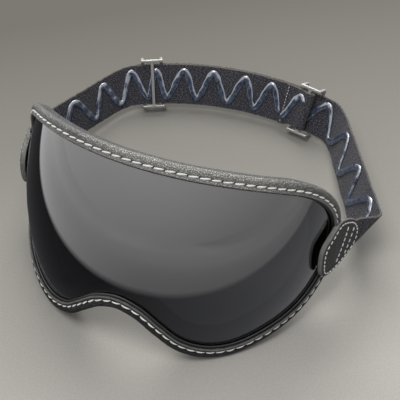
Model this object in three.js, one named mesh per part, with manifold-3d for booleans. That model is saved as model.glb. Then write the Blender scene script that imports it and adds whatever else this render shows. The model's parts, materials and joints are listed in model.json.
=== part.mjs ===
// Bubble-lens riding goggles, lying on the lower rim and the strap. Millimetres, Z up, lens facing -Y.
import * as THREE from 'three';
import { mergeVertices } from 'three/addons/utils/BufferGeometryUtils.js';
import Module from 'manifold-3d';

const { degToRad } = THREE.MathUtils;

// Lens: one smoke sheet, curved in plan as an ellipse and bulged from top to bottom
const LENS_HALF_WIDTH = 95;
const LENS_PLAN_DEPTH = 88.4;
const LENS_BULGE_RADIUS = 160;
const LENS_THICKNESS = 1.8;
const LENS_TUCK = 3.6;
const BROW_RISE = 33.8;
const LOBE_DROP = 69.3;
const NOSE_DROP = 43.6;
const FRAME_PITCH = degToRad(26.3);

// Visible lens edge from the brow to the lobe: wrap angle in degrees, and height as a share of the
// brow rise above the middle or of the lobe drop below it
const EDGE_SHAPE = [
  [0, 1],
  [43, 0.947],
  [61.5, 0.808],
  [72.4, 0.553],
  [79, 0.237],
  [82.9, -0.173],
  [82.6, -0.375],
  [76, -0.62],
  [57.9, -0.874],
  [45.8, -0.982],
  [35, -1],
];

// Lens edge from the lobe to the nose: wrap angle, and height as a share of the way up to the notch
const NOTCH_SHAPE = [
  [24.7, 0.163],
  [16.6, 0.498],
  [8.3, 0.86],
  [0, 1],
];

// Clearance between pieces that seat on each other
const CLEARANCE = 0.3;

// Lens frame: a thin channel that grips the lens edge
const CHANNEL_WALL = 0.9;
const CHANNEL_WEB = 1.3;
const CHANNEL_REVEAL = 0.9;

// Leather binding over the channel, in two halves with their seams under the side tabs
const BINDING_LEATHER = 1.6;
const BINDING_CROWN = 0.4;
const BINDING_DEPTH = 5;
const BINDING_SEAM_HEIGHT = -8;

// Face foam behind the channel, and the fleece that touches the face
const FOAM_DEPTH = 8;
const FOAM_INNER_REACH = 3;
const FOAM_ROUNDING = 2;
const FLEECE_THICKNESS = 1.5;

// Side tabs: leather patches that start on the rim and run straight back to hold the strap.
// Outline points are distance back from the place where the tab leaves the rim's curve, and height
const TAB_TANGENT_WRAP = degToRad(78);
const TAB_THICKNESS = 1.8;
const TAB_MIDDLE = [11, -8];
const TAB_SHAPE = [
  [-8.8, -5.4],
  [-2.3, 2.6],
  [4.7, 7.7],
  [16.5, 6.8],
  [26.5, 3],
  [33.5, -5],
  [33, -13],
  [23.5, -20.5],
  [9.5, -26],
  [0.3, -24.8],
  [-6.7, -15.8],
];

// Strap: two elastic bands that overlap behind the head and lean outwards all round
const STRAP_WIDTH = 28;
const STRAP_THICKNESS = 1.5;
const STRAP_LEAN = degToRad(30);

// Strap end and its backing patch, sewn behind the rear part of the tab
const STRAP_TAB_START = 17;
const STRAP_TAB_END = 36;
const STRAP_TAB_TOP = 1;
const STRAP_TAB_BOTTOM = -14;
const BACKING_THICKNESS = 1.4;
const BACKING_MARGIN = 1;
const BACKING_LENGTH = 13;

// Route of the strap: an arc behind the head, a soft corner on each side, a straight run, and a bend
// at each tab. Bend offsets are measured from the strap's lower edge where it leaves the tab
const LOOP_RADIUS = 160;
const LOOP_CENTRE_X = 7.3;
const LOOP_CENTRE_Y = -51.1;
const LOOP_LEFT_ANGLE = degToRad(31.1);
const LOOP_RIGHT_ANGLE = degToRad(-16.2);
const CORNER_LENGTH = 6;
const CORNER_RUN_LENGTH = 18;
const LEFT_BEND_OUT = 2.5;
const LEFT_BEND_BACK = 12;
const LEFT_BEND_DROP = 17.9;
const LEFT_BEND_LEAN = degToRad(20);
const RIGHT_BEND_OUT = 0.5;
const RIGHT_BEND_BACK = 6.4;
const RIGHT_BEND_DROP = 9;
const RIGHT_BEND_LEAN = degToRad(30);
const BEND_ROUNDING = 3;

// Sliders: a bar with two rails in front of the straps, and two bars behind them.
// Angles are measured round the loop from straight behind, to the left
const SLIDER_LENGTH = 15;
const SLIDER_WIRE = 2;
const SLIDER_FILLET = 1.5;
const SLIDER_TOP_CLEARANCE = 1.6;
const SLIDER_BOTTOM_CLEARANCE = 0.3;
const SLIDER_LEFT_ANGLE = degToRad(26.5);
const SLIDER_RIGHT_ANGLE = degToRad(-10.9);

// Sewn end of the left strap, folded round the right slider's bar, and loose tail of the right strap
const SEWN_LENGTH = 16;
const FOLD_LENGTH = 7.6;
const TAIL_LENGTH = 2;

// Silicone grip bead, drawn by hand in a wave along the inner face of both straps. Turns are distances
// along the strap from its end in the tab, high and low in turn, with a high one first
const BEAD_WIDTH = 2.6;
const BEAD_HEIGHT = 1;
const BEAD_SWING = 9.3;
const BEAD_START_MARGIN = 1;
const BEAD_END_MARGIN = 2;
const BEAD_LEFT_TURNS = [62, 78, 86, 101.5, 111, 121.5, 128, 134.5, 147, 156, 167, 178, 189, 198, 207.5, 218.5];
const BEAD_RIGHT_TURNS = [44, 63.5, 73, 95, 104.5, 129, 140, 158];

// Steps along curves
const EDGE_STEPS = 72;
const LENS_RINGS = 4;
const TAB_STEPS = 36;
const TAB_RINGS = 3;
const LEAD_STEPS = 2;
const BEND_STEPS = 4;
const CORNER_STEPS = 6;
const RUN_STEPS = 5;
const RUN_START = 2 * (LEAD_STEPS + BEND_STEPS);
const ARC_STEP = degToRad(3.5);
const BEAD_STEP = 2.2;
const BEAD_SECTION_STEPS = 4;
const ROUND_STEPS = 3;
const SHARE_TOLERANCE = 1e-6;

// Depths along the lens normal from the lens front face, and distances outwards from its visible edge
const CHANNEL_FRONT = CLEARANCE + CHANNEL_WALL;
const CHANNEL_BACK = -LENS_THICKNESS - CLEARANCE - CHANNEL_WALL;
const CHANNEL_OUTER = LENS_TUCK + CLEARANCE + CHANNEL_WEB;
const BINDING_INNER = CHANNEL_OUTER + CLEARANCE;
const BINDING_OUTER = BINDING_INNER + BINDING_LEATHER;
const LIP_BOTTOM = CHANNEL_FRONT + CLEARANCE;
const LIP_TOP = LIP_BOTTOM + BINDING_LEATHER;
const FOAM_FRONT = CHANNEL_BACK - CLEARANCE;
const FOAM_BACK = FOAM_FRONT - FOAM_DEPTH;
const FLEECE_FRONT = FOAM_BACK - CLEARANCE;
const TAB_INNER = LIP_TOP + BINDING_CROWN + CLEARANCE;
const STRAP_TAB_INNER = TAB_INNER - CLEARANCE - STRAP_THICKNESS;
const BACKING_OUTER = STRAP_TAB_INNER - CLEARANCE;

// Depths outwards from the inner face of the left strap, on the rear loop. The right strap's grip bead
// has room to pass behind the left strap
const SEWN_FRONT = -STRAP_THICKNESS - CLEARANCE;
const RIGHT_STRAP_INNER = STRAP_THICKNESS + BEAD_HEIGHT + 2 * CLEARANCE;
const REAR_BAR_INNER = RIGHT_STRAP_INNER + STRAP_THICKNESS + CLEARANCE;
const REAR_BAR_OUTER = REAR_BAR_INNER + SLIDER_WIRE;
const FRONT_BAR_OUTER = -BEAD_HEIGHT - 2 * CLEARANCE;
const FRONT_BAR_INNER = FRONT_BAR_OUTER - SLIDER_WIRE;
const SLIDER_OVERHANG = SLIDER_BOTTOM_CLEARANCE + SLIDER_WIRE;

// The strap's lower edge stands so high that the slider round it just meets the ground
const LOOP_EDGE_HEIGHT = SLIDER_OVERHANG * Math.cos(STRAP_LEAN) + REAR_BAR_OUTER * Math.sin(STRAP_LEAN);

const LEATHER = { color: 0x2b2a28, roughness: 0.5, metalness: 0 };
const ELASTIC = { color: 0x343338, roughness: 0.95, metalness: 0 };
const SILICONE = { color: 0x1d2740, roughness: 0.15, metalness: 0 };
const METAL = { color: 0x77756f, roughness: 0.35, metalness: 1 };
const SMOKE = { color: 0x2a2a2c, roughness: 0.05, metalness: 0 };
const RUBBER = { color: 0x121212, roughness: 0.7, metalness: 0 };
const FOAM = { color: 0x1b1b1c, roughness: 1, metalness: 0 };
const FLEECE = { color: 0x232324, roughness: 1, metalness: 0 };

const wasm = await Module();
wasm.setup();

function piece(name, geometry, finish) {
  geometry.computeVertexNormals();
  const mesh = new THREE.Mesh(geometry, new THREE.MeshStandardMaterial(finish));
  mesh.name = name;
  return mesh;
}

// Closed body from points and triangles, turned so that its faces point out
function closedBody(points, triangles) {
  let volume = 0;
  const cross = new THREE.Vector3();
  for (const [a, b, c] of triangles) {
    volume += points[a].dot(cross.crossVectors(points[b], points[c]));
  }
  const index = triangles.flatMap(([a, b, c]) => (volume > 0 ? [a, b, c] : [a, c, b]));
  const geometry = new THREE.BufferGeometry().setFromPoints(points);
  geometry.setIndex(index);
  return geometry;
}

// Triangles of a flat outline, all turning the way the outline does
function outlineTriangles(outline) {
  const turn = Math.sign(THREE.ShapeUtils.area(outline));
  return THREE.ShapeUtils.triangulateShape(outline, []).map(([a, b, c]) => {
    const area = THREE.ShapeUtils.area([outline[a], outline[b], outline[c]]);
    return Math.sign(area) === turn ? [a, b, c] : [a, c, b];
  });
}

// Body swept through sections of the same profile, closed into a ring or capped at both ends
function sweptBody(sections, profile, isRing) {
  const size = profile.length;
  const triangles = [];
  const spans = isRing ? sections.length : sections.length - 1;
  for (let i = 0; i < spans; i += 1) {
    const here = i * size;
    const next = ((i + 1) % sections.length) * size;
    for (let j = 0; j < size; j += 1) {
      const k = (j + 1) % size;
      triangles.push([here + j, next + j, next + k], [here + j, next + k, here + k]);
    }
  }
  if (!isRing) {
    const last = spans * size;
    for (const [a, b, c] of outlineTriangles(profile)) {
      triangles.push([a, b, c], [last + a, last + c, last + b]);
    }
  }
  return closedBody(sections.flat(), triangles);
}

// Rings that shrink evenly from an outline towards a middle point, smallest first
function shrunkRings(outline, middle, count) {
  const rings = [];
  for (let i = 1; i <= count; i += 1) {
    rings.push(outline.map((point) => middle.clone().lerp(point, i / count)));
  }
  return rings;
}

// Sheet of even thickness over flat rings round a middle point, smallest first
function sheetBody(middle, rings, place, outer, inner) {
  const size = rings[0].length;
  const points = [];
  const triangles = [];
  for (const depth of [outer, inner]) {
    const isOuter = depth === outer;
    const first = points.length;
    points.push(place(middle.x, middle.y, depth));
    points.push(...rings.flat().map((point) => place(point.x, point.y, depth)));
    const face = [];
    for (let j = 0; j < size; j += 1) {
      const k = (j + 1) % size;
      face.push([first, first + 1 + j, first + 1 + k]);
      for (let ring = 1; ring < rings.length; ring += 1) {
        const near = first + 1 + (ring - 1) * size;
        const far = near + size;
        face.push([near + j, far + j, far + k], [near + j, far + k, near + k]);
      }
    }
    triangles.push(...face.map(([a, b, c]) => (isOuter ? [a, b, c] : [a, c, b])));
  }
  const outerRim = 1 + (rings.length - 1) * size;
  const innerRim = outerRim + points.length / 2;
  for (let j = 0; j < size; j += 1) {
    const k = (j + 1) % size;
    triangles.push([outerRim + j, innerRim + j, innerRim + k]);
    triangles.push([outerRim + j, innerRim + k, outerRim + k]);
  }
  return closedBody(points, triangles);
}

// Geometry with its points shared between faces
function shared(geometry) {
  const bare = geometry.clone();
  bare.deleteAttribute('normal');
  bare.deleteAttribute('uv');
  return mergeVertices(bare);
}

// Extruded body bent into another shape point by point
function bentBody(flat, bend) {
  const { attributes, index } = shared(flat);
  const points = [];
  for (let i = 0; i < attributes.position.count; i += 1) {
    points.push(bend(new THREE.Vector3().fromBufferAttribute(attributes.position, i)));
  }
  const triangles = [];
  for (let i = 0; i < index.count; i += 3) {
    triangles.push([index.getX(i), index.getX(i + 1), index.getX(i + 2)]);
  }
  return closedBody(points, triangles);
}

function asSolid(geometry) {
  const merged = shared(geometry);
  return new wasm.Manifold(new wasm.Mesh({
    numProp: 3,
    vertProperties: new Float32Array(merged.attributes.position.array),
    triVerts: new Uint32Array(merged.index.array),
  }));
}

function joined(geometries) {
  const solid = geometries.map(asSolid).reduce((sum, next) => sum.add(next));
  const mesh = solid.getMesh();
  const geometry = new THREE.BufferGeometry();
  geometry.setAttribute('position', new THREE.BufferAttribute(mesh.vertProperties, 3));
  geometry.setIndex(new THREE.BufferAttribute(mesh.triVerts, 1));
  return geometry;
}

// Lens surface

function planCurve(wrap) {
  const point = new THREE.Vector3(LENS_HALF_WIDTH * Math.sin(wrap), -LENS_PLAN_DEPTH * Math.cos(wrap), 0);
  const along = new THREE.Vector3(LENS_HALF_WIDTH * Math.cos(wrap), LENS_PLAN_DEPTH * Math.sin(wrap), 0);
  return { point, along };
}

// Place at a height on a bulged wall that stands on a plan point, and at a depth along its normal
function onBulge(plan, along, height, depth) {
  const out = new THREE.Vector3(along.y, -along.x, 0).normalize();
  const inset = height * height / (2 * LENS_BULGE_RADIUS);
  const normal = out.clone().setZ(height / LENS_BULGE_RADIUS).normalize();
  return plan.clone().addScaledVector(out, -inset).setZ(height).addScaledVector(normal, depth);
}

// Distance round the lens is wrap angle times its half width
function onLens(round, height, depth) {
  const { point, along } = planCurve(round / LENS_HALF_WIDTH);
  return onBulge(point, along, height, depth);
}

// Side tabs follow the lens curve up to the tangent place and then run straight back
function onSide(side, back, height, depth) {
  const tangent = planCurve(TAB_TANGENT_WRAP);
  const curve = planCurve(TAB_TANGENT_WRAP + Math.min(back, 0) / tangent.along.length());
  const plan = curve.point.addScaledVector(tangent.along.normalize(), Math.max(back, 0));
  const place = onBulge(plan, curve.along, height, depth);
  place.x *= side;
  return place;
}

// Lens edge

const edgeHalf = [
  ...EDGE_SHAPE.map(([wrap, share]) => [wrap, share * (share > 0 ? BROW_RISE : LOBE_DROP)]),
  ...NOTCH_SHAPE.map(([wrap, share]) => [wrap, THREE.MathUtils.lerp(-LOBE_DROP, -NOSE_DROP, share)]),
].map(([wrap, height]) => new THREE.Vector3(degToRad(wrap) * LENS_HALF_WIDTH, height, 0));
const edgeMirror = edgeHalf.slice(1, -1).reverse().map((point) => new THREE.Vector3(-point.x, point.y, 0));
const lensEdge = new THREE.CatmullRomCurve3([...edgeHalf, ...edgeMirror], true, 'centripetal');

// Flat place beside the edge by share of its length, at a distance outwards in the lens surface
function besideEdge(share, outwards) {
  const wrapped = THREE.MathUtils.euclideanModulo(share, 1);
  const point = lensEdge.getPointAt(wrapped);
  const along = lensEdge.getTangentAt(wrapped);
  return new THREE.Vector2(point.x - along.y * outwards, point.y + along.x * outwards);
}

function onEdge(share, outwards, depth) {
  const flat = besideEdge(share, outwards);
  return onLens(flat.x, flat.y, depth);
}

function flatEdge(outwards) {
  const outline = [];
  for (let i = 0; i < EDGE_STEPS; i += 1) {
    outline.push(besideEdge(i / EDGE_STEPS, outwards));
  }
  return outline;
}

function edgeShareAt(height) {
  let above = 0;
  let below = 0.5;
  while (below - above > SHARE_TOLERANCE) {
    const middle = (above + below) / 2;
    if (lensEdge.getPointAt(middle).y > height) {
      above = middle;
    } else {
      below = middle;
    }
  }
  return above;
}

function edgeSections(profile, shares) {
  return shares.map((share) => profile.map((point) => onEdge(share, point.x, point.y)));
}

// Shares of the edge between two places, on the same steps as the pieces that run all round
function edgeShares(from, to) {
  const shares = [from];
  for (let i = Math.floor(from * EDGE_STEPS) + 1; i < to * EDGE_STEPS; i += 1) {
    shares.push(i / EDGE_STEPS);
  }
  return [...shares, to];
}

function edgeRing(profile) {
  const shares = edgeShares(0, 1).slice(0, -1);
  return sweptBody(edgeSections(profile, shares), profile, true);
}

function profileOf(pairs) {
  return pairs.map(([outwards, depth]) => new THREE.Vector2(outwards, depth));
}

function makeLens() {
  const middle = new THREE.Vector2(0, (BROW_RISE - NOSE_DROP) / 2);
  const bare = flatEdge(-2 * CHANNEL_REVEAL);
  const rings = [...shrunkRings(bare, middle, LENS_RINGS), flatEdge(LENS_TUCK)];
  return piece('lens', sheetBody(middle, rings, onLens, 0, -LENS_THICKNESS), SMOKE);
}

function makeLensFrame() {
  const web = LENS_TUCK + CLEARANCE;
  const profile = profileOf([
    [-CHANNEL_REVEAL, CHANNEL_FRONT],
    [CHANNEL_OUTER, CHANNEL_FRONT],
    [CHANNEL_OUTER, CHANNEL_BACK],
    [-CHANNEL_REVEAL, CHANNEL_BACK],
    [-CHANNEL_REVEAL, CHANNEL_BACK + CHANNEL_WALL],
    [web, CHANNEL_BACK + CHANNEL_WALL],
    [web, CLEARANCE],
    [-CHANNEL_REVEAL, CLEARANCE],
  ]);
  return piece('lens_frame', edgeRing(profile), RUBBER);
}

// Leather lip over the lens edge, rolled down into a wall that hides the channel and the foam
function makeBindings() {
  const roll = BINDING_LEATHER / 2;
  const profile = profileOf([
    [0, LIP_BOTTOM],
    [0, LIP_TOP - roll],
    [roll, LIP_TOP],
    [BINDING_OUTER / 2, LIP_TOP + BINDING_CROWN],
    [BINDING_INNER, LIP_TOP - roll / 2],
    [BINDING_OUTER, LIP_BOTTOM],
    [BINDING_OUTER, -BINDING_DEPTH],
    [BINDING_INNER, -BINDING_DEPTH],
    [BINDING_INNER, LIP_BOTTOM],
  ]);
  const seam = edgeShareAt(BINDING_SEAM_HEIGHT);
  const gap = CLEARANCE / lensEdge.getLength() / 2;
  const top = edgeSections(profile, edgeShares(-seam + gap, seam - gap));
  const bottom = edgeSections(profile, edgeShares(seam + gap, 1 - seam - gap));
  return [
    piece('binding_top', sweptBody(top, profile, false), LEATHER),
    piece('binding_bottom', sweptBody(bottom, profile, false), LEATHER),
  ];
}

function makeFaceSeal() {
  const foam = profileOf([
    [-CHANNEL_REVEAL, FOAM_FRONT],
    [CHANNEL_OUTER, FOAM_FRONT],
    [CHANNEL_OUTER, FOAM_BACK + FOAM_ROUNDING],
    [CHANNEL_OUTER - FOAM_ROUNDING, FOAM_BACK],
    [-FOAM_INNER_REACH, FOAM_BACK],
    [-FOAM_INNER_REACH, FOAM_BACK + FOAM_ROUNDING],
  ]);
  const fleece = profileOf([
    [CHANNEL_OUTER - FOAM_ROUNDING, FLEECE_FRONT],
    [CHANNEL_OUTER - FOAM_ROUNDING, FLEECE_FRONT - FLEECE_THICKNESS],
    [-FOAM_INNER_REACH, FLEECE_FRONT - FLEECE_THICKNESS],
    [-FOAM_INNER_REACH, FLEECE_FRONT],
  ]);
  return [
    piece('face_foam', edgeRing(foam), FOAM),
    piece('face_fleece', edgeRing(fleece), FLEECE),
  ];
}

// Side tabs, and the backing patches that clamp the strap ends against them

function makeTab(side, label) {
  const corners = TAB_SHAPE.map(([back, height]) => new THREE.Vector3(back, height, 0));
  const curve = new THREE.CatmullRomCurve3(corners, true, 'centripetal');
  const outline = curve.getSpacedPoints(TAB_STEPS).slice(0, -1).map(({ x, y }) => new THREE.Vector2(x, y));
  const place = (back, height, depth) => onSide(side, back, height, depth);
  const middle = new THREE.Vector2(...TAB_MIDDLE);
  const rings = shrunkRings(outline, middle, TAB_RINGS);
  const outer = TAB_INNER + TAB_THICKNESS;
  return piece(`tab_${label}`, sheetBody(middle, rings, place, outer, TAB_INNER), LEATHER);
}

function makeBacking(side, label) {
  const top = STRAP_TAB_TOP - BACKING_MARGIN;
  const bottom = STRAP_TAB_BOTTOM + BACKING_MARGIN;
  const front = STRAP_TAB_START;
  const rear = front + BACKING_LENGTH;
  const outline = [[front, bottom], [rear, bottom], [rear, top], [front, top]];
  const profile = outline.map(([back, height]) => new THREE.Vector2(back, height));
  const sections = [BACKING_OUTER, BACKING_OUTER - BACKING_THICKNESS].map(
    (depth) => profile.map((point) => onSide(side, point.x, point.y, depth)),
  );
  return piece(`tab_backing_${label}`, sweptBody(sections, profile, false), LEATHER);
}

// Rear loop: place by angle from straight behind, height up the strap, and depth outwards
function onLoop(angle, across, depth) {
  const reach = LOOP_RADIUS + across * Math.sin(STRAP_LEAN) + depth * Math.cos(STRAP_LEAN);
  return new THREE.Vector3(
    LOOP_CENTRE_X - reach * Math.sin(angle),
    LOOP_CENTRE_Y + reach * Math.cos(angle),
    LOOP_EDGE_HEIGHT + across * Math.cos(STRAP_LEAN) - depth * Math.sin(STRAP_LEAN),
  );
}

// Straight legs through a list of places, with each place between rounded off
function roundedLegs(places) {
  const curves = [];
  let from = places[0];
  for (let i = 1; i < places.length - 1; i += 1) {
    const towards = (other) => other.clone().sub(places[i]).setLength(BEND_ROUNDING).add(places[i]);
    const before = towards(places[i - 1]);
    const after = towards(places[i + 1]);
    curves.push([new THREE.LineCurve3(from, before), LEAD_STEPS]);
    curves.push([new THREE.QuadraticBezierCurve3(before, places[i], after), BEND_STEPS]);
    from = after;
  }
  curves.push([new THREE.LineCurve3(from, places[places.length - 1]), RUN_STEPS]);
  return curves;
}

// Edge of the strap from inside the tab, round the bend, along the run and round the corner
function edgeRoute(start, exit, bend, corner, end) {
  const cornerIn = bend.clone().sub(corner).setLength(CORNER_RUN_LENGTH).add(corner);
  const curves = roundedLegs([start, exit, bend, cornerIn]);
  curves.push([new THREE.QuadraticBezierCurve3(cornerIn, corner, end), CORNER_STEPS]);
  return curves.flatMap(([curve, steps]) => curve.getPoints(steps).slice(0, -1));
}

// Lower and upper edge of one strap's inner face, from the tab to a place on the rear loop
function strapEdges(frame, side, depth, loopEnd) {
  const tabPlace = (back, height) => frame.localToWorld(onSide(side, back, height, STRAP_TAB_INNER));
  const lowerStart = tabPlace(STRAP_TAB_START, STRAP_TAB_BOTTOM);
  const upperStart = tabPlace(STRAP_TAB_START, STRAP_TAB_TOP);
  const lowerExit = tabPlace(STRAP_TAB_END, STRAP_TAB_BOTTOM);
  const upperExit = tabPlace(STRAP_TAB_END, STRAP_TAB_TOP);
  const arcStart = side > 0 ? LOOP_RIGHT_ANGLE : LOOP_LEFT_ANGLE;
  const bendLean = side > 0 ? RIGHT_BEND_LEAN : LEFT_BEND_LEAN;
  const bendOffset = side > 0
    ? new THREE.Vector3(RIGHT_BEND_OUT, RIGHT_BEND_BACK, -RIGHT_BEND_DROP)
    : new THREE.Vector3(-LEFT_BEND_OUT, LEFT_BEND_BACK, -LEFT_BEND_DROP);
  const heading = new THREE.Vector3(Math.cos(arcStart), Math.sin(arcStart), 0).multiplyScalar(side);
  const corner = (across) => onLoop(arcStart, across, depth).addScaledVector(heading, CORNER_LENGTH);
  const lowerBend = lowerExit.clone().add(bendOffset);
  const run = corner(0).sub(lowerBend);
  const out = new THREE.Vector3(run.y, -run.x, 0).multiplyScalar(side).normalize();
  const upperBend = lowerBend.clone().addScaledVector(out, STRAP_WIDTH * Math.sin(bendLean));
  upperBend.z += STRAP_WIDTH * Math.cos(bendLean);
  const lower = edgeRoute(lowerStart, lowerExit, lowerBend, corner(0), onLoop(arcStart, 0, depth));
  const upperEnd = onLoop(arcStart, STRAP_WIDTH, depth);
  const upper = edgeRoute(upperStart, upperExit, upperBend, corner(STRAP_WIDTH), upperEnd);
  const arcSteps = Math.ceil(Math.abs(loopEnd - arcStart) / ARC_STEP);
  for (let i = 0; i <= arcSteps; i += 1) {
    const angle = THREE.MathUtils.lerp(arcStart, loopEnd, i / arcSteps);
    lower.push(onLoop(angle, 0, depth));
    upper.push(onLoop(angle, STRAP_WIDTH, depth));
  }
  return { lower, upper, side };
}

// Outward direction of the strap at each of its stations
function strapNormals({ lower, upper, side }) {
  return lower.map((point, i) => {
    const before = Math.max(i - 1, 0);
    const after = Math.min(i + 1, lower.length - 1);
    const along = lower[after].clone().add(upper[after]).sub(lower[before]).sub(upper[before]);
    const across = upper[i].clone().sub(point);
    return along.cross(across).multiplyScalar(side).normalize();
  });
}

function makeStrap(name, edges) {
  const normals = strapNormals(edges);
  const profile = profileOf([[0, 0], [1, 0], [1, 1], [0, 1]]);
  const sections = edges.lower.map((lower, i) => profile.map(({ x, y }) => {
    const place = lower.clone().lerp(edges.upper[i], x);
    return place.addScaledVector(normals[i], y * STRAP_THICKNESS);
  }));
  return piece(name, sweptBody(sections, profile, false), ELASTIC);
}

// Place on a strap's own facets by distance along its middle, height from its middle line, and depth
function strapPlacer(edges) {
  const normals = strapNormals(edges);
  const middles = edges.lower.map((lower, i) => lower.clone().lerp(edges.upper[i], 0.5));
  const lengths = [0];
  for (let i = 1; i < middles.length; i += 1) {
    lengths.push(lengths[i - 1] + middles[i].distanceTo(middles[i - 1]));
  }
  const place = (along, across, depth) => {
    const found = lengths.findIndex((length) => length > along);
    const next = found < 1 ? lengths.length - 1 : found;
    const share = (along - lengths[next - 1]) / (lengths[next] - lengths[next - 1]);
    const height = 0.5 + across / STRAP_WIDTH;
    const normal = normals[next - 1].clone().lerp(normals[next], share).normalize();
    const [nearLower, nearUpper] = [edges.lower[next - 1], edges.upper[next - 1]];
    const [farLower, farUpper] = [edges.lower[next], edges.upper[next]];
    const isFarHalf = height <= share;
    const ahead = isFarHalf ? farLower.clone().sub(nearLower) : farUpper.clone().sub(nearUpper);
    const up = isFarHalf ? farUpper.clone().sub(farLower) : nearUpper.clone().sub(nearLower);
    const onFace = nearLower.clone().addScaledVector(ahead, share).addScaledVector(up, height);
    return onFace.addScaledVector(normal, depth);
  };
  return { place, runStart: lengths[RUN_START], length: lengths[lengths.length - 1] };
}

// Height and slope of a hand-drawn wave at a distance along the strap
function beadWave(turns, along) {
  const found = turns.findIndex((turn) => turn > along);
  const next = THREE.MathUtils.clamp(found < 0 ? turns.length - 1 : found, 1, turns.length - 1);
  const gap = turns[next] - turns[next - 1];
  const phase = Math.PI * (next - 1 + (along - turns[next - 1]) / gap);
  return { across: BEAD_SWING * Math.cos(phase), slope: -BEAD_SWING * Math.PI / gap * Math.sin(phase) };
}

// Half-round bead along a wave between two distances on a surface
function makeBead(name, place, from, to, turns) {
  const profile = [];
  for (let i = 0; i <= BEAD_SECTION_STEPS; i += 1) {
    const turn = Math.PI * i / BEAD_SECTION_STEPS;
    profile.push(new THREE.Vector2(Math.cos(turn) * BEAD_WIDTH / 2, Math.sin(turn) * BEAD_HEIGHT));
  }
  const steps = Math.ceil(Math.abs(to - from) / BEAD_STEP);
  const sections = [];
  for (let i = 0; i <= steps; i += 1) {
    const along = THREE.MathUtils.lerp(from, to, i / steps);
    const { across, slope } = beadWave(turns, along);
    const sideways = new THREE.Vector2(-slope, 1).normalize();
    sections.push(profile.map(({ x, y }) => (
      place(along + sideways.x * x, across + sideways.y * x, -CLEARANCE - y)
    )));
  }
  return piece(name, sweptBody(sections, profile, false), SILICONE);
}

// Sliders, drawn in their own axes: X round the loop to the left, Y up the strap, Z outwards

function sliderFront() {
  const half = SLIDER_LENGTH / 2;
  const bar = SLIDER_WIRE / 2;
  const slotTop = STRAP_WIDTH + SLIDER_TOP_CLEARANCE;
  const slotBottom = -SLIDER_BOTTOM_CLEARANCE;
  const shape = new THREE.Shape();
  shape.moveTo(-half, slotBottom - SLIDER_WIRE);
  shape.lineTo(half, slotBottom - SLIDER_WIRE);
  shape.lineTo(half, slotBottom);
  shape.lineTo(bar + SLIDER_FILLET, slotBottom);
  shape.quadraticCurveTo(bar, slotBottom, bar, slotBottom + SLIDER_FILLET);
  shape.lineTo(bar, slotTop - SLIDER_FILLET);
  shape.quadraticCurveTo(bar, slotTop, bar + SLIDER_FILLET, slotTop);
  shape.lineTo(half, slotTop);
  shape.lineTo(half, slotTop + SLIDER_WIRE);
  shape.lineTo(-half, slotTop + SLIDER_WIRE);
  shape.lineTo(-half, slotTop);
  shape.lineTo(-bar - SLIDER_FILLET, slotTop);
  shape.quadraticCurveTo(-bar, slotTop, -bar, slotTop - SLIDER_FILLET);
  shape.lineTo(-bar, slotBottom + SLIDER_FILLET);
  shape.quadraticCurveTo(-bar, slotBottom, -bar - SLIDER_FILLET, slotBottom);
  shape.lineTo(-half, slotBottom);
  const settings = { depth: SLIDER_WIRE, bevelEnabled: false, curveSegments: ROUND_STEPS };
  return new THREE.ExtrudeGeometry(shape, settings).translate(0, 0, FRONT_BAR_INNER);
}

// Rear bar with a leg at each end that reaches forward into the rails
function sliderRearBar(centre) {
  const slotTop = STRAP_WIDTH + SLIDER_TOP_CLEARANCE;
  const slotBottom = -SLIDER_BOTTOM_CLEARANCE;
  const legEnd = (FRONT_BAR_INNER + FRONT_BAR_OUTER) / 2;
  const shape = new THREE.Shape();
  shape.moveTo(-REAR_BAR_OUTER, slotBottom - SLIDER_WIRE);
  shape.lineTo(-REAR_BAR_OUTER, slotTop + SLIDER_WIRE);
  shape.lineTo(-legEnd, slotTop + SLIDER_WIRE);
  shape.lineTo(-legEnd, slotTop);
  shape.lineTo(-REAR_BAR_INNER, slotTop);
  shape.lineTo(-REAR_BAR_INNER, slotBottom);
  shape.lineTo(-legEnd, slotBottom);
  shape.lineTo(-legEnd, slotBottom - SLIDER_WIRE);
  const wire = new THREE.ExtrudeGeometry(shape, { depth: SLIDER_WIRE, bevelEnabled: false });
  wire.rotateY(Math.PI / 2);
  return wire.translate(centre - SLIDER_WIRE / 2, 0, 0);
}

function makeSlider(name, angle) {
  const barOffset = (SLIDER_LENGTH - SLIDER_WIRE) / 2;
  const geometry = joined([sliderFront(), sliderRearBar(barOffset), sliderRearBar(-barOffset)]);
  const slider = piece(name, geometry, METAL);
  slider.position.copy(onLoop(angle, 0, 0));
  slider.rotation.order = 'ZYX';
  slider.rotation.set(Math.PI / 2 + STRAP_LEAN, 0, angle + Math.PI);
  return slider;
}

// Sewn end: two layers sewn flat at the left, parting to go round the bar of the right slider
function sewnFront(along) {
  const barFront = FRONT_BAR_INNER - CLEARANCE - STRAP_THICKNESS;
  const rise = THREE.MathUtils.clamp((FOLD_LENGTH - along) / FOLD_LENGTH, 0, 1);
  return THREE.MathUtils.lerp(SEWN_FRONT, barFront, rise);
}

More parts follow.
